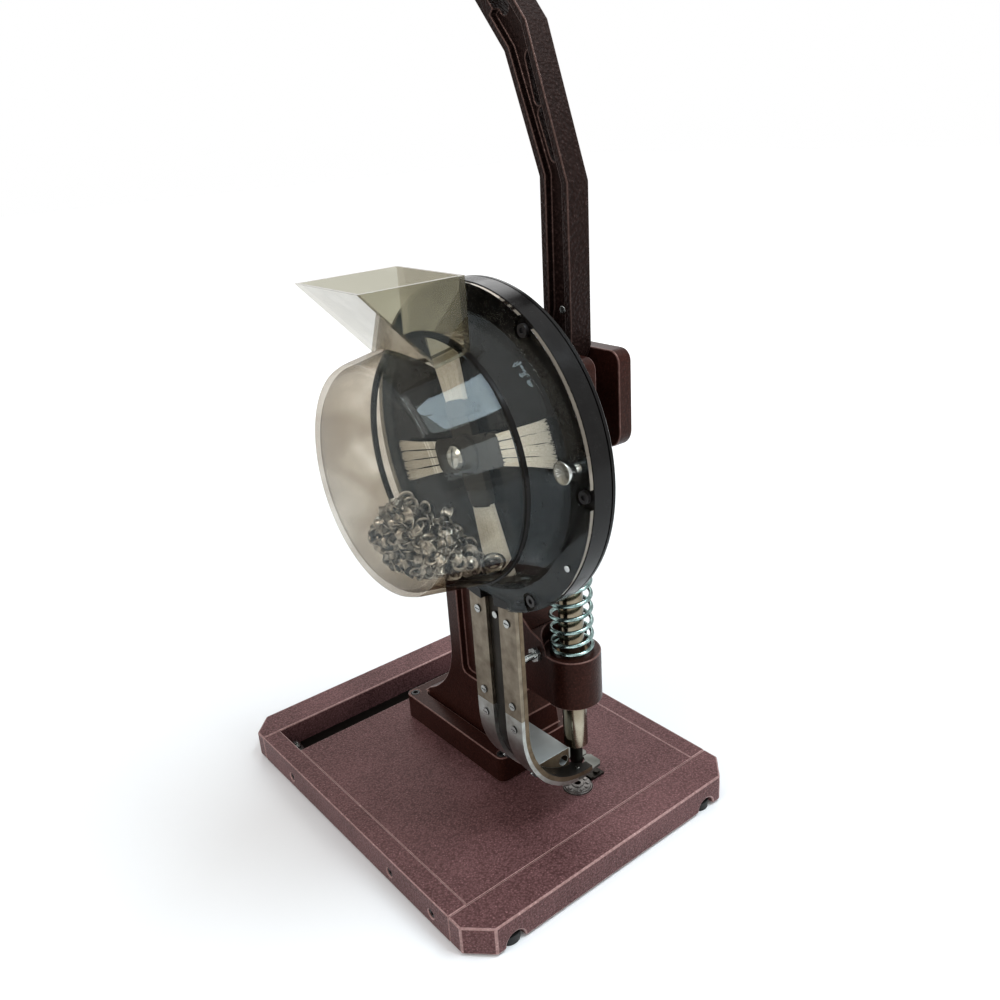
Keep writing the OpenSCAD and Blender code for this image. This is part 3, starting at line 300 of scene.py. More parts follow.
# %% Metals
def metal(
    name, colour, other, roughness, clouds=0.02, stretch=(1, 1, 1), grain=0.0008,
    depth=0.00002, rim=0.4,
):
    """Metal of two tones with fine scratches, which painted shade darkens where it turns away, by
    rim.
    """
    finish = Finish(name, metallic=1.0)
    cloud = finish.noise(clouds, detail=3).between(0.3, 0.7)
    scratch = finish.noise(grain, detail=4, stretch=stretch)
    facing = finish.node("ShaderNodeLayerWeight", {"Blend": 0.5}, output="Facing")
    # Painted shade: the colour falls towards 0.12 of itself as the surface turns edgewise to the
    # view.
    turned = facing.between(0.3, 0.95) * rim
    face_on = finish.mix(cloud, colour, other)
    finish.set("Base Color", finish.mix(turned, face_on, tuple(0.12 * c for c in colour)))
    finish.set("Roughness", (roughness + 0.18 * (scratch - 0.5) + 0.06 * cloud).clamp())
    return finish.bump(scratch, depth).material


zinc = metal(
    "zinc plate", (0.24, 0.205, 0.155), (0.125, 0.1, 0.072), 0.36, clouds=0.009, depth=0.00004
)
pale_zinc = metal(
    "pale zinc plate", (0.5, 0.52, 0.5), (0.27, 0.265, 0.24), 0.3, clouds=0.012, depth=0.00003
)
bright_zinc = metal(
    "bright zinc", (0.60, 0.62, 0.60), (0.3, 0.31, 0.3), 0.2, clouds=0.006, rim=0.85
)
polished = metal(
    "polished steel", (0.40, 0.36, 0.28), (0.17, 0.13, 0.08), 0.14, stretch=(1, 1, 0.12), rim=0.95
)
ground = metal(
    "ground steel", (0.42, 0.45, 0.44), (0.28, 0.3, 0.29), 0.3, grain=0.0004, depth=0.000008
)
dark_steel = metal("dark tool steel", (0.03, 0.026, 0.022), (0.016, 0.014, 0.012), 0.42)
gate_steel = metal("gate steel", (0.17, 0.17, 0.155), (0.09, 0.09, 0.08), 0.4)
block_steel = metal(
    "milled block", (0.62, 0.66, 0.65), (0.5, 0.53, 0.52), 0.5, grain=0.0004, depth=0.000008
)
die_steel = metal("die steel", (0.2, 0.19, 0.18), (0.08, 0.07, 0.066), 0.34, clouds=0.004)
bronze = metal("bearing bronze", (0.22, 0.15, 0.08), (0.13, 0.085, 0.045), 0.35)
tan_steel = metal(
    "tan steel", (0.17, 0.13, 0.085), (0.09, 0.066, 0.042), 0.42, clouds=0.008
)
spring_zinc = metal(
    "spring plating", (0.40, 0.54, 0.52), (0.07, 0.11, 0.1), 0.2, clouds=0.005, rim=1.0
)
eyelet_metal = metal(
    "eyelet metal", (0.9, 0.92, 0.92), (0.22, 0.225, 0.225), 0.29, clouds=0.003, rim=0.85
)


def blacked(name, colour, roughness, depth=0.00003, shine=0.25):
    """Blackened or anodised metal: dark, smooth and a little dusty."""
    finish = Finish(name, Coat_Weight=0.05, Coat_Roughness=0.1, Specular_IOR_Level=shine)
    dust = finish.noise(0.012, detail=5, rough=0.65).between(0.45, 0.8)
    grain = finish.noise(0.0007, detail=2)
    finish.set("Base Color", finish.mix(dust * 0.5, colour, tuple(c * 1.8 + 0.001 for c in colour)))
    finish.set("Roughness", (roughness + 0.15 * dust + 0.08 * (grain - 0.5)).clamp())
    return finish.bump(grain, depth).material


disc_black = blacked("black disc", (0.0035, 0.003, 0.0028), 0.2, shine=0.12)
screw_black = blacked("black screws", (0.012, 0.011, 0.011), 0.35)
holder_grey = blacked("brush holder plastic", (0.034, 0.031, 0.027), 0.5, shine=0.12)
grip_rubber = blacked("grip rubber", (0.012, 0.012, 0.012), 0.55, depth=0.00008)
print("metals:", zinc.name, polished.name, spring_zinc.name, disc_black.name)

# %% [markdown]
# ## Clear plastic
# Vacuum-formed acrylic is a mirror laid over a window: it reflects little face on and more at a
# grazing angle. A Mix Shader sets a tinted see-through shader against a mirror, and Layer Weight
# gives the share. Fingermarks add a little haze. The cut edges glow pale, in a finish of their own.


# %% Clear plastic
def clear_plastic(name, tint, deep, mirror, face_on, grazing, haze, patchy=0.0):
    """Share of mirror = face_on + grazing * facing^4 + haze * fingermarks.

    What comes through goes from tint to deep with facing^2, and in slow patches.
    """
    finish = Finish(name, roughness=0.035, metallic=1.0, Base_Color=(*mirror, 1))
    facing = finish.node("ShaderNodeLayerWeight", {"Blend": 0.5}, output="Facing")
    smear = finish.noise(0.028, detail=5, rough=0.65).between(0.45, 0.8)
    patches = finish.noise(0.075, detail=1, stretch=(1, 1, 2)).between(0.44, 0.56) * patchy
    share = (facing**4 * grazing + smear * haze + face_on).clamp()
    thin, long = (
        finish.node("ShaderNodeBsdfTransparent", {"Color": (*colour, 1)}) for colour in (tint, deep)
    )
    depth = (facing**2 + patches).clamp()
    through = finish.node("ShaderNodeMixShader", {0: depth, 1: thin, 2: long})
    reflected = Sock(finish, finish.shader.outputs[0])
    blend = finish.node("ShaderNodeMixShader", {0: share, 1: through, 2: reflected})
    finish.tree.links.new(blend.link, finish.tree.nodes["Material Output"].inputs["Surface"])
    return finish.material


MIRROR = (0.58, 0.66, 0.7)
acrylic = clear_plastic(
    "clear acrylic", (0.97, 0.965, 0.95), (0.66, 0.62, 0.55), MIRROR,
    face_on=0.02, grazing=0.5, haze=0.012,
)
nose_acrylic = clear_plastic(
    "nose acrylic", (0.94, 0.925, 0.89), (0.5, 0.44, 0.37), MIRROR,
    face_on=0.02, grazing=0.45, haze=0.006, patchy=0.3,
)
funnel_acrylic = clear_plastic(
    "funnel acrylic", (0.78, 0.77, 0.71), (0.32, 0.30, 0.23), MIRROR,
    face_on=0.02, grazing=0.12, haze=0.01, patchy=0.1,
)
acrylic_edge = clear_plastic(
    "acrylic edge", (0.6, 0.58, 0.53), (0.4, 0.36, 0.3), (0.8, 0.78, 0.73),
    face_on=0.5, grazing=0.4, haze=0.15,
)
rim_edge = clear_plastic(
    "acrylic rim", (0.45, 0.42, 0.37), (0.3, 0.27, 0.22), (0.5, 0.45, 0.38),
    face_on=0.35, grazing=0.4, haze=0.1,
)
print("clear finishes:", acrylic.name, nose_acrylic.name, funnel_acrylic.name)

# %% [markdown]
# ## Bristles
# Cream bristles are nylon: pale, slightly glossy, darker between the strands. A faint emission
# gives them a painted glow.

# %% Bristle finish
# Painted glow: a faint emission stands for light scattered inside the nylon.
bristle_finish = Finish(
    "cream bristles", roughness=0.45, Emission_Color=(1, 0.98, 0.9, 1), Emission_Strength=0.1
)
streak = bristle_finish.noise(0.0012, detail=2).between(0.3, 0.7)
cream = bristle_finish.mix(streak, (0.74, 0.72, 0.62), (0.98, 0.97, 0.92))
bristles_cream = bristle_finish.set("Base Color", cream).material
print("bristle finish:", bristles_cream.name)

# %% [markdown]
# ## Rounded edges
# CAD solids have knife edges, which never catch the light as real ones do. Each node is copied, its
# triangles are welded and merged back into flat faces, and a small Bevel rounds every sharp edge.


# %% Dressing a node
MM = 0.001
BEVEL_ANGLE = math.radians(32)
FLAT_ANGLE = math.radians(0.6)
WELD = 1e-6


def dressed(node, material, round_by, clamped=True):
    """Copy of a CAD node with welded faces, rounded edges and a finish; it stands for the node."""
    source = frame["nodes"][node]
    mesh = source.data.copy()
    mesh.materials.clear()
    mesh.materials.append(material)
    if material in EDGE_HIGHLIGHTS:
        mesh.materials.append(EDGE_HIGHLIGHTS[material])
    work = bmesh.new()
    work.from_mesh(mesh)
    bmesh.ops.remove_doubles(work, verts=work.verts, dist=WELD)
    bmesh.ops.dissolve_limit(
        work, angle_limit=FLAT_ANGLE, verts=work.verts, edges=work.edges,
        use_dissolve_boundaries=False,
    )
    for face in work.faces:
        face.smooth = True
        face.material_index = 0
    for edge in work.edges:
        edge.smooth = edge.calc_face_angle(math.pi) < BEVEL_ANGLE
    work.to_mesh(mesh)
    work.free()
    piece = bpy.data.objects.new(f"{node}.dressed", mesh)
    bpy.context.scene.collection.objects.link(piece)
    bevel = piece.modifiers.new("rounded edges", "BEVEL")
    bevel.width = round_by
    bevel.segments = 2
    bevel.limit_method = "ANGLE"
    bevel.angle_limit = BEVEL_ANGLE
    bevel.use_clamp_overlap = clamped
    bevel.harden_normals = True
    # The rounded faces take the paint's painted edge highlight, where it has one.
    bevel.material = len(mesh.materials) - 1
    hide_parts(node)
    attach(piece, source["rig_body"])
    return piece


def finish_faces(piece, is_chosen, finish):
    """Gives another finish to the faces whose centres c and normals n pass a test."""
    mesh = piece.data
    mesh.materials.append(finish)
    centre = np.empty(len(mesh.polygons) * 3)
    normal = np.empty(len(mesh.polygons) * 3)
    mesh.polygons.foreach_get("center", centre)
    mesh.polygons.foreach_get("normal", normal)
    chosen = is_chosen(centre.reshape(-1, 3), normal.reshape(-1, 3))
    index = np.zeros(len(mesh.polygons), int)
    mesh.polygons.foreach_get("material_index", index)
    mesh.polygons.foreach_set("material_index", np.where(chosen, len(mesh.materials) - 1, index))


# node: (finish, rounding in millimetres)
DRESS = {
    "front_cap": (table_paint, 1.3),
    "rear_cap": (table_paint, 1.3),
    "side_rail_left": (table_paint, 1.0),
    "side_rail_right": (table_paint, 1.0),
    "table_plate": (table_paint, 0.5),
    "c_frame": (casting_paint, 0.9),
    "lever_arm": (lever_paint, 0.8),
    "rubber_feet": (grip_rubber, 0.8),
    "bottom_cover": (dark_steel, 0.2),
    "bed_bar": (dark_steel, 0.3),
    "cross_beams": (dark_steel, 0.3),
    "side_screws": (screw_black, 0.3),
    "cover_bolts": (bright_zinc, 0.3),
    "frame_bolts": (screw_black, 0.3),
    "guide_bush": (bronze, 0.3),
    "cheek_bushes": (bronze, 0.3),
    "stop_screw": (bright_zinc, 0.4),
    "ram": (polished, 0.5),
    "roller": (ground, 0.4),
    "roller_pin": (polished, 0.2),
    "spring_collar": (zinc, 0.5),
    "ram_screws": (screw_black, 0.2),
    "upper_punch": (dark_steel, 0.2),
    "lower_die": (die_steel, 0.3),
    "die_clamp": (dark_steel, 0.3),
    "lever_pins": (bright_zinc, 0.3),
    "pivot_shaft": (polished, 0.4),
    "shaft_collar": (zinc, 0.5),
    "drive_crank": (ground, 0.5),
    "crank_pin": (polished, 0.3),
    "link": (ground, 0.5),
    "rotor_crank": (ground, 0.5),
    "rotor_pin": (polished, 0.3),
    "rotor_shaft": (polished, 0.3),
    "handle_bar": (bright_zinc, 0.3),
    "handle_grip": (grip_rubber, 0.5),
    "drum_standoffs": (bright_zinc, 0.3),
    "standoff_bolts": (screw_black, 0.3),
    "back_disc": (disc_black, 0.6),
    "disc_bush": (bronze, 0.3),
    "drum_seal": (disc_black, 0.3),
    "cover_screws": (screw_black, 0.3),
    "thumb_knob": (bright_zinc, 0.4),
    "brush_hub": (holder_grey, 0.6),
    "hub_screw": (bright_zinc, 0.3),
    "track_upper": (dark_steel, 0.3),
    "track_strips": (zinc, 0.5),
    "track_bend": (dark_steel, 0.3),
    "bend_strips": (pale_zinc, 0.5),
    "track_screws": (bright_zinc, 0.4),
    "track_block": (block_steel, 0.5),
    "track_stay": (bright_zinc, 0.4),
    "gate_front": (gate_steel, 0.3),
    "gate_rear": (gate_steel, 0.3),
    "gate_pins": (bright_zinc, 0.2),
}
pieces = {
    node: dressed(node, finish, rounding * MM, clamped=finish not in EDGE_HIGHLIGHTS)
    for node, (finish, rounding) in DRESS.items()
}

# A face looks along an axis if that part of its normal, from 0 to 1, is over a limit, and it is
# edgewise to the axis if that part is near 0.
UPWARD = 0.7
FACING = 0.9
SQUARE_ON = 0.97
EDGEWISE = 0.3
# The block's faces that don't face up, and the track's faces that look along y, take a darker tan.
finish_faces(pieces["track_block"], lambda c, n: n[:, 2] < UPWARD, tan_steel)
for node in ("track_upper", "track_bend"):
    finish_faces(pieces[node], lambda c, n: np.abs(n[:, 1]) > FACING, tan_steel)
# The sides of the screw heads are black: a painted shade that rings each head.
finish_faces(
    pieces["track_screws"],
    lambda c, n: np.abs(n[:, 1]) + np.abs(n[:, 2]) > SQUARE_ON, screw_black,
)
print("dressed", len(DRESS), "of", len(frame["nodes"]), "nodes")

# %% [markdown]
# ## Surfaces from grids
# Everything below is a surface of two parameters: a numpy grid of points, joined into quads. One
# helper turns such a grid into a mesh, closed round either direction where the shape asks for it.


# %% Grid helper
def grid_faces(rows, columns, wrap_rows=False, wrap_columns=False):
    """Quads of a grid, as rows of four indices, with the last line joined to the first if asked."""
    i = np.arange(rows if wrap_rows else rows - 1)
    j = np.arange(columns if wrap_columns else columns - 1)
    i, j = np.meshgrid(i, j, indexing="ij")
    down, over = (i + 1) % rows, (j + 1) % columns
    corners = [(i, j), (i, over), (down, over), (down, j)]
    return np.stack([row * columns + column for row, column in corners], -1).reshape(-1, 4)


def piece_from(name, points, faces, material, body, replaces=()):
    """Smooth mesh from an array of points and a list of faces. It rides on a body, unless that
    is None, which leaves the piece free."""
    mesh = bpy.data.meshes.new(name)
    corners = [list(map(int, face)) for face in faces]
    mesh.from_pydata(np.asarray(points, float).reshape(-1, 3).tolist(), [], corners)
    mesh.materials.append(material)
    mesh.polygons.foreach_set("use_smooth", np.ones(len(mesh.polygons), bool))
    mesh.update()
    made = bpy.data.objects.new(name, mesh)
    bpy.context.scene.collection.objects.link(made)
    if replaces:
        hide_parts(*replaces)
    if body:
        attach(made, body)
    return made


def end_caps(rings, sides):
    """Two faces that close a tube: its first ring, turned to look out, and its last."""
    return [list(range(sides))[::-1], [(rings - 1) * sides + k for k in range(sides)]]


print("a grid of 3 by 4 points has", len(grid_faces(3, 4)), "quads")

# %% [markdown]
# ## Return spring
# The wire is a tube along a helix, which flattens into one closed turn at each end. It stands
# between the frame and the ram.

# %% Return spring
spring_low, spring_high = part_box("return_spring")
ram_low, ram_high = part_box("ram")
axis_xy = np.array([(ram_low.x + ram_high.x) / 2, (ram_low.y + ram_high.y) / 2])
WIRE_R = 0.0016
WIRE_SIDES = 12
COIL_R = 0.01535
OPEN_TURNS = 7.5
DEAD_TURNS = 1.0
STATIONS = 900
START_PHASE = 0.6
turns = np.linspace(0, OPEN_TURNS + 2 * DEAD_TURNS, STATIONS)
rise = np.clip(turns - DEAD_TURNS, 0, OPEN_TURNS) / OPEN_TURNS
dead = np.clip(turns, 0, DEAD_TURNS) + np.clip(turns - DEAD_TURNS - OPEN_TURNS, 0, DEAD_TURNS)
bottom = spring_low.z + WIRE_R
free = spring_high.z - spring_low.z - 2 * WIRE_R - 2 * DEAD_TURNS * 2 * WIRE_R
height = bottom + rise * free + dead * 2 * WIRE_R
phase = turns * 2 * np.pi + START_PHASE


def tube(path, radius, sides):
    """Points of a tube: a circle carried along the path, square to it."""
    along = np.gradient(path, axis=0)
    along /= np.linalg.norm(along, axis=1, keepdims=True)
    up = np.array([0.0, 0.0, 1.0])
    side = np.cross(along, up)
    side /= np.linalg.norm(side, axis=1, keepdims=True)
    over = np.cross(side, along)
    a = np.linspace(0, 2 * np.pi, sides, endpoint=False)
    ring = np.cos(a)[None, :, None] * side[:, None] + np.sin(a)[None, :, None] * over[:, None]
    return path[:, None] + radius * ring


path = np.stack(
    [axis_xy[0] + COIL_R * np.cos(phase), axis_xy[1] + COIL_R * np.sin(phase), height], -1
)
wire_quads = grid_faces(STATIONS, WIRE_SIDES, wrap_columns=True)[:, ::-1]
spring = piece_from(
    "spring_wire", tube(path, WIRE_R, WIRE_SIDES), [*wire_quads, *end_caps(STATIONS, WIRE_SIDES)],
    spring_zinc, None, ["return_spring"],
)
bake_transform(spring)
print("spring: pitch %.1f mm" % (free / OPEN_TURNS * 1000))

# %% [markdown]
# ## Brushes
# Four tufted brushes sweep the disc. Each tuft is a bundle of thin bristles that fan out a little
# and bend with use. One bristle is a tapered tube of a few rings. Its thousands of points come from
# one array, so no loop runs over the bristles.

# %% Brushes
DISC_R = 0.109
DRUM_Y = axis_xy[1]
DRUM_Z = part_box("back_disc")[1].z - DISC_R
BRUSH_X = -0.05525
BRUSH_CENTRE = np.array([BRUSH_X, DRUM_Y, DRUM_Z])
BRUSH_ANGLES = [-17, 73, 163, 253]
TUFTS = 4
STRANDS = 120
TUFT_PITCH = 0.0053
TUFT_HALF_WIDTH = 0.0021
TUFT_HALF_DEPTH = 0.0017
FAN = 1.35
DEPTH_FAN = 0.25
ROOT = 0.034
TIP = 0.0832
UNEVEN = 0.0022
BEND = 0.0008
STRAND_R = np.array([0.00024, 0.00023, 0.0002, 0.00013])
RINGS = len(STRAND_R)
STRAND_SIDES = 3
AXIAL = np.array([1.0, 0, 0])
rng = np.random.default_rng(7)


def drum_frame(angle):
    """Outward and sideways directions in the drum's plane, at an angle from straight back."""
    a = math.radians(angle)
    return np.array([0, math.cos(a), math.sin(a)]), np.array([0, -math.sin(a), math.cos(a)])


def tuft_paths(angle):
    """Bristle centre lines of one brush: strand and ring, each a point.

    A root lies at random in its tuft. Towards the tip, t = 1, a strand fans out sideways by FAN,
    a little in depth, and bends by a random amount times t^2. The tips lie on a circle.
    """
    out, side = drum_frame(angle)
    tuft = np.repeat((np.arange(TUFTS) - (TUFTS - 1) / 2) * TUFT_PITCH, STRANDS)
    spot = rng.uniform(-1, 1, (TUFTS * STRANDS, 2))
    root_side = (tuft + spot[:, 0] * TUFT_HALF_WIDTH)[:, None]
    root_depth = (spot[:, 1] * TUFT_HALF_DEPTH)[:, None]
    reach = (TIP - UNEVEN * rng.random(TUFTS * STRANDS))[:, None]
    t = np.linspace(0, 1, RINGS)[None, :]
    bend = BEND * rng.normal(size=(TUFTS * STRANDS, 1)) * t**2
    across = FAN * root_side * t + root_side * (1 - t) + bend
    tip = np.sqrt(reach**2 - (FAN * root_side) ** 2)
    outward = ROOT + (tip - ROOT) * t
    deep = root_depth * (1 + DEPTH_FAN * t)
    sideways, inward = across[..., None] * side, deep[..., None] * AXIAL
    return BRUSH_CENTRE + outward[..., None] * out + sideways + inward


def brush_mesh(angle):
    """Three-sided tapered bristles around the centre lines of one brush."""
    lines = tuft_paths(angle)
    side = drum_frame(angle)[1]
    a = np.arange(STRAND_SIDES) * 2 * np.pi / STRAND_SIDES
    ring = np.cos(a)[:, None] * side + np.sin(a)[:, None] * AXIAL
    points = lines[:, :, None, :] + STRAND_R[None, :, None, None] * ring[None, None]
    quads = grid_faces(RINGS, STRAND_SIDES, wrap_columns=True)
    last = RINGS * STRAND_SIDES - 1
    tips = np.array([[0, 1, 2], [last, last - 1, last - 2]])
    starts = np.arange(len(lines))[:, None, None] * RINGS * STRAND_SIDES
    faces = [*(starts + quads).reshape(-1, 4), *(starts + tips).reshape(-1, 3)]
    return points.reshape(-1, 3), faces


for number, angle in enumerate(BRUSH_ANGLES, 1):
    points, faces = brush_mesh(angle)
    piece_from(
        f"bristles_{number}", points, faces, bristles_cream, "brush_rotor",
        ["brushes"] if number == 1 else [],
    )

# The holder's section and outline, in metres and powers.
BAR_RINGS = 14
BAR_SIDES = 24
BAR_FROM = 0.0235
BAR_LENGTH = 0.0118
BAR_HALF_WIDTH = 0.0119
BAR_HALF_DEPTH = 0.0028
BAR_SQUARE = 0.35
BAR_START, BAR_SPAN, BAR_ROUND = 0.06, 0.9, 0.18


def brush_bar(angle, number):
    """Moulded holder of one brush, a rounded bar between hub and tufts.

    Its section is a circle with cosine and sine raised to BAR_SQUARE, which makes it nearly square.
    Its width follows a sine, from BAR_START over BAR_SPAN of half a turn, raised to BAR_ROUND, so
    that both ends are rounded.
    """
    out, side = drum_frame(angle)
    u = np.linspace(0, 1, BAR_RINGS)
    reach = BAR_FROM + BAR_LENGTH * u
    half = BAR_HALF_WIDTH * np.sin(np.pi * (u * BAR_SPAN + BAR_START)) ** BAR_ROUND
    a = np.linspace(0, 2 * np.pi, BAR_SIDES, endpoint=False)
    flat = np.sign(np.cos(a)) * np.abs(np.cos(a)) ** BAR_SQUARE
    deep = BAR_HALF_DEPTH * np.sign(np.sin(a)) * np.abs(np.sin(a)) ** BAR_SQUARE
    points = (
        BRUSH_CENTRE + reach[:, None, None] * out + (half[:, None] * flat)[..., None] * side
        + np.broadcast_to(deep, (BAR_RINGS, BAR_SIDES))[..., None] * AXIAL
    )
    quads = grid_faces(BAR_RINGS, BAR_SIDES, wrap_columns=True)
    piece_from(
        f"brush_holder_{number}", points, [*quads, *end_caps(BAR_RINGS, BAR_SIDES)],
        holder_grey, "brush_rotor",
    )


for number, angle in enumerate(BRUSH_ANGLES, 1):
    brush_bar(angle, number)
print("bristles:", len(BRUSH_ANGLES) * TUFTS * STRANDS)

# %% [markdown]
# ## Clear drum
# The cover, bowl and funnel keep their CAD solids' shapes. The cover's outer edge gets a finish of
# its own. The bowl's faces get the nose's tint, and only its rounded edges stay as clear as the
# cover. The sides of its feed hole, and all of the funnel but its two side walls, get the pale one.


# %% Clear drum
def from_axis(points):
    """Distance of points from the drum's axis."""
    return np.hypot(points[:, 1] - DRUM_Y, points[:, 2] - DRUM_Z)


COVER_EDGE_R = 0.094
FEED_HOLE_Z = DRUM_Z + 0.06
FUNNEL_NECK_R = 0.088
cover = dressed("drum_cover", acrylic, 0.4 * MM)
bowl = dressed("drum_bowl", acrylic, 0.4 * MM)
funnel = dressed("funnel", funnel_acrylic, 0.3 * MM)
finish_faces(
    cover, lambda c, n: (np.abs(n[:, 0]) < EDGEWISE) & (from_axis(c) > COVER_EDGE_R), rim_edge
)
finish_faces(bowl, lambda c, n: np.full(len(c), True), nose_acrylic)
finish_faces(
    bowl, lambda c, n: (np.abs(n[:, 1]) > SQUARE_ON) & (c[:, 2] > FEED_HOLE_Z), acrylic_edge
)
finish_faces(
    funnel,
    lambda c, n: (n[:, 2] > FACING) | (from_axis(c) < FUNNEL_NECK_R) & (np.abs(n[:, 1]) < FACING),
    acrylic_edge,
)
print("clear pieces:", cover.name, bowl.name, funnel.name)

# %% [markdown]
# ## Loose eyelets
# A few handfuls lie in the bottom of the drum. An eyelet is a short barrel with a rolled flange:
# one profile turned about its axis. The centres are a jittered grid, cut by the bowl's wall and by
# a slope. The tilts are random but from a fixed seed, so that every run gives the same heap.

# %% Loose eyelets
EYELET_R = 0.0052
BARREL_R = 0.0030
SIDES = 14
profile = np.array([
    [BARREL_R - 0.0004, -0.0045], [BARREL_R, -0.0045], [BARREL_R + 0.0001, -0.0006],
    [EYELET_R - 0.0004, -0.0002], [EYELET_R, 0.0001], [EYELET_R - 0.0003, 0.0006],
    [BARREL_R + 0.0006, 0.0007], [BARREL_R - 0.0003, 0.0001],
])
turn = np.linspace(0, 2 * np.pi, SIDES, endpoint=False)
radius, along = profile[:, :1], np.broadcast_to(profile[:, 1:], (len(profile), SIDES))
eyelet = np.stack([radius * np.cos(turn), radius * np.sin(turn), along], -1)
eyelet_quads = grid_faces(len(profile), SIDES, wrap_rows=True, wrap_columns=True)


def turns_at_random(count, rng):
    """Random rotation matrices, from the QR factors of normal numbers."""
    q, r = np.linalg.qr(rng.normal(size=(count, 3, 3)))
    return q * np.sign(np.diagonal(r, axis1=1, axis2=2))[:, None, :]


# The heap, in metres: x is the frame's own, and y to the rear and z up are from the drum's axis.
STEP = 0.0072
LAYER = 0.8
JITTER = 0.0021
HEAP_X = (-0.1125, -0.070)
HEAP_Y = (-0.07, 0.07)
HEAP_Z = (-0.078, -0.008)
WALL_X = [-0.1225, -0.0775, -0.054]
WALL_R = [0.0695, 0.0775, 0.089]
WALL_GAP = 0.0066
PEAK = (-0.112, 0.003, -0.015)
FALL_ACROSS, FALL_REAR, FALL_FRONT = 0.6, 0.95, 0.5
RIPPLE, RIPPLE_X, RIPPLE_Y = 0.004, 400, 300
SKIN = 0.013
FRONT_X = -0.105


def heap(rng):
    """Centres of a heap: a jittered grid, kept within the bowl's wall and under a slope.

    The slope falls from the peak by FALL_ACROSS along x, and by FALL_REAR and FALL_FRONT to either
    side of the peak's y, and a product of a sine and a cosine ripples it. Eyelets deeper than SKIN
    behind the front, where nothing shows them, are left out.
    """
    x, y = np.arange(*HEAP_X, STEP), np.arange(*HEAP_Y, STEP)
    z = np.arange(*HEAP_Z, STEP * LAYER)
    grid = np.stack(np.meshgrid(x, y, z, indexing="ij"), -1).reshape(-1, 3)
    grid += rng.uniform(-JITTER, JITTER, grid.shape)
    x, y, z = grid.T
    radius = np.hypot(y, z)
    wall = np.interp(x, WALL_X, WALL_R) - WALL_GAP
    rear = y - PEAK[1]
    slope = FALL_ACROSS * np.clip(x - PEAK[0], 0, 1)
    top = PEAK[2] - slope - FALL_REAR * np.clip(rear, 0, 1) - FALL_FRONT * np.clip(-rear, 0, 1) \
        + RIPPLE * np.sin(x * RIPPLE_X) * np.cos(y * RIPPLE_Y)
    inside = (radius < wall) & (z < top)
    shown = (wall - radius < SKIN) | (top - z < SKIN) | (x < FRONT_X)
    return grid[inside & shown] + np.array([0, DRUM_Y, DRUM_Z])


heap_rng = np.random.default_rng(21)
centres = heap(heap_rng)
spins = turns_at_random(len(centres), heap_rng)
points = np.einsum("nij,rsj->nrsi", spins, eyelet) + centres[:, None, None]
starts = np.arange(len(centres))[:, None, None] * eyelet[..., 0].size
piece_from(
    "loose_eyelets", points, (starts + eyelet_quads).reshape(-1, 4),
    eyelet_metal, "frame",
)
print("eyelets:", len(centres))

# %% [markdown]
# ## One large eyelet
# A single eyelet of a larger size lies beside the heap, face up, clear of the brushes' sweep.

# %% Large eyelet
LARGE_SCALE = 1.6
LARGE_FACES = Vector((-0.3, -0.25, 0.92))
LARGE_AT = np.array([-72, -138, 271]) * MM
lean_back = LARGE_FACES.to_track_quat("Z", "Y").to_matrix()
points = LARGE_SCALE * eyelet @ np.array(lean_back).T + LARGE_AT
piece_from("large_eyelet", points, eyelet_quads, bright_zinc, "frame")
print("the large eyelet is %.1f mm across" % (2 * EYELET_R * LARGE_SCALE / MM))

# %% [markdown]
# ## Floor, light and air
# A plain pale floor takes the object's shadow and brightens away from it. Four soft lamps and a
# pale world stand in for a room with windows: the strongest hangs overhead, and the next is at the
# operator's left, where the drum reflects it.


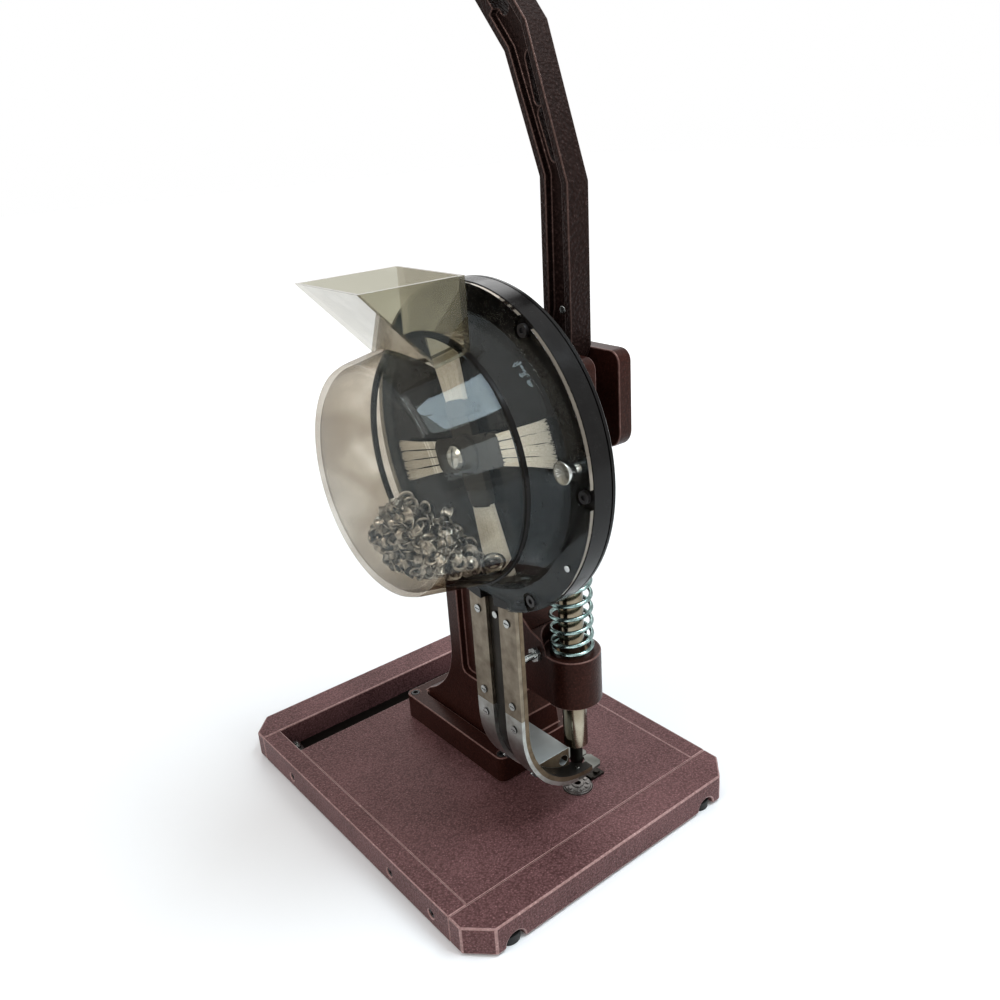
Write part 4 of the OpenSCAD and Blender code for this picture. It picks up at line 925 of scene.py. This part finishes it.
# %% Floor and backdrop
FLOOR = 8.0
NEAR, FAR = 0.35, 1.5
floor_corners = [(-FLOOR, -FLOOR, 0), (FLOOR, -FLOOR, 0), (FLOOR, FLOOR, 0), (-FLOOR, FLOOR, 0)]
floor_mesh = bpy.data.meshes.new("floor")
floor_mesh.from_pydata(floor_corners, [], [(0, 1, 2, 3)])
floor_finish = Finish(
    "floor", roughness=0.7, Base_Color=(0.88, 0.88, 0.88, 1), Specular_IOR_Level=0.1
)
distance = floor_finish.node(
    "ShaderNodeVectorMath", {0: floor_finish.place()}, output="Value", operation="LENGTH"
)
glow = distance.between(NEAR, FAR) * floor_finish.seen()
floor_finish.set("Emission Strength", 1.0)
floor_finish.set("Emission Color", floor_finish.mix(glow, (0, 0, 0), (0.5, 0.5, 0.5)))
floor_mesh.materials.append(floor_finish.material)
floor = bpy.data.objects.new("floor", floor_mesh)
bpy.context.scene.collection.objects.link(floor)
print("floor:", 2 * FLOOR, "m square")


# %% Lamps
def softbox(name, place, aim, size, watts, colour=(1, 1, 1)):
    """Square lamp at a place, turned towards a point."""
    lamp = bpy.data.lights.new(name, "AREA")
    lamp.shape = "SQUARE"
    lamp.size = size
    lamp.energy = watts
    lamp.color = colour
    obj = bpy.data.objects.new(name, lamp)
    obj.location = place
    obj.rotation_mode = "QUATERNION"
    obj.rotation_quaternion = (Vector(aim) - Vector(place)).to_track_quat("-Z", "Y")
    bpy.context.scene.collection.objects.link(obj)


MIDDLE = (0, -0.05, 0.25)
softbox("window lamp", (-1.5, -0.2, 1.5), MIDDLE, 0.9, 13)
softbox("overhead window", (0.42, -0.75, 1.75), MIDDLE, 0.8, 24, (0.82, 0.93, 1.0))
softbox("front lamp", (0.5, -1.9, 0.9), MIDDLE, 0.8, 6)
softbox("rear lamp", (0.9, 1.3, 1.5), MIDDLE, 1.0, 6)

world = bpy.data.worlds.new("room")
world.use_nodes = True
room = Graph(world.node_tree)
# The world lights the object at DIM, and shows itself to the camera, gloss and glass at 1.
DIM = 0.58
background = world.node_tree.nodes["Background"]
strength = room.seen() * (1 - DIM) + DIM
room.tree.links.new(strength.link, background.inputs["Strength"])
background.inputs["Color"].default_value = (1, 1, 1, 1)
bpy.context.scene.world = world
bpy.context.scene.view_settings.view_transform = "Standard"
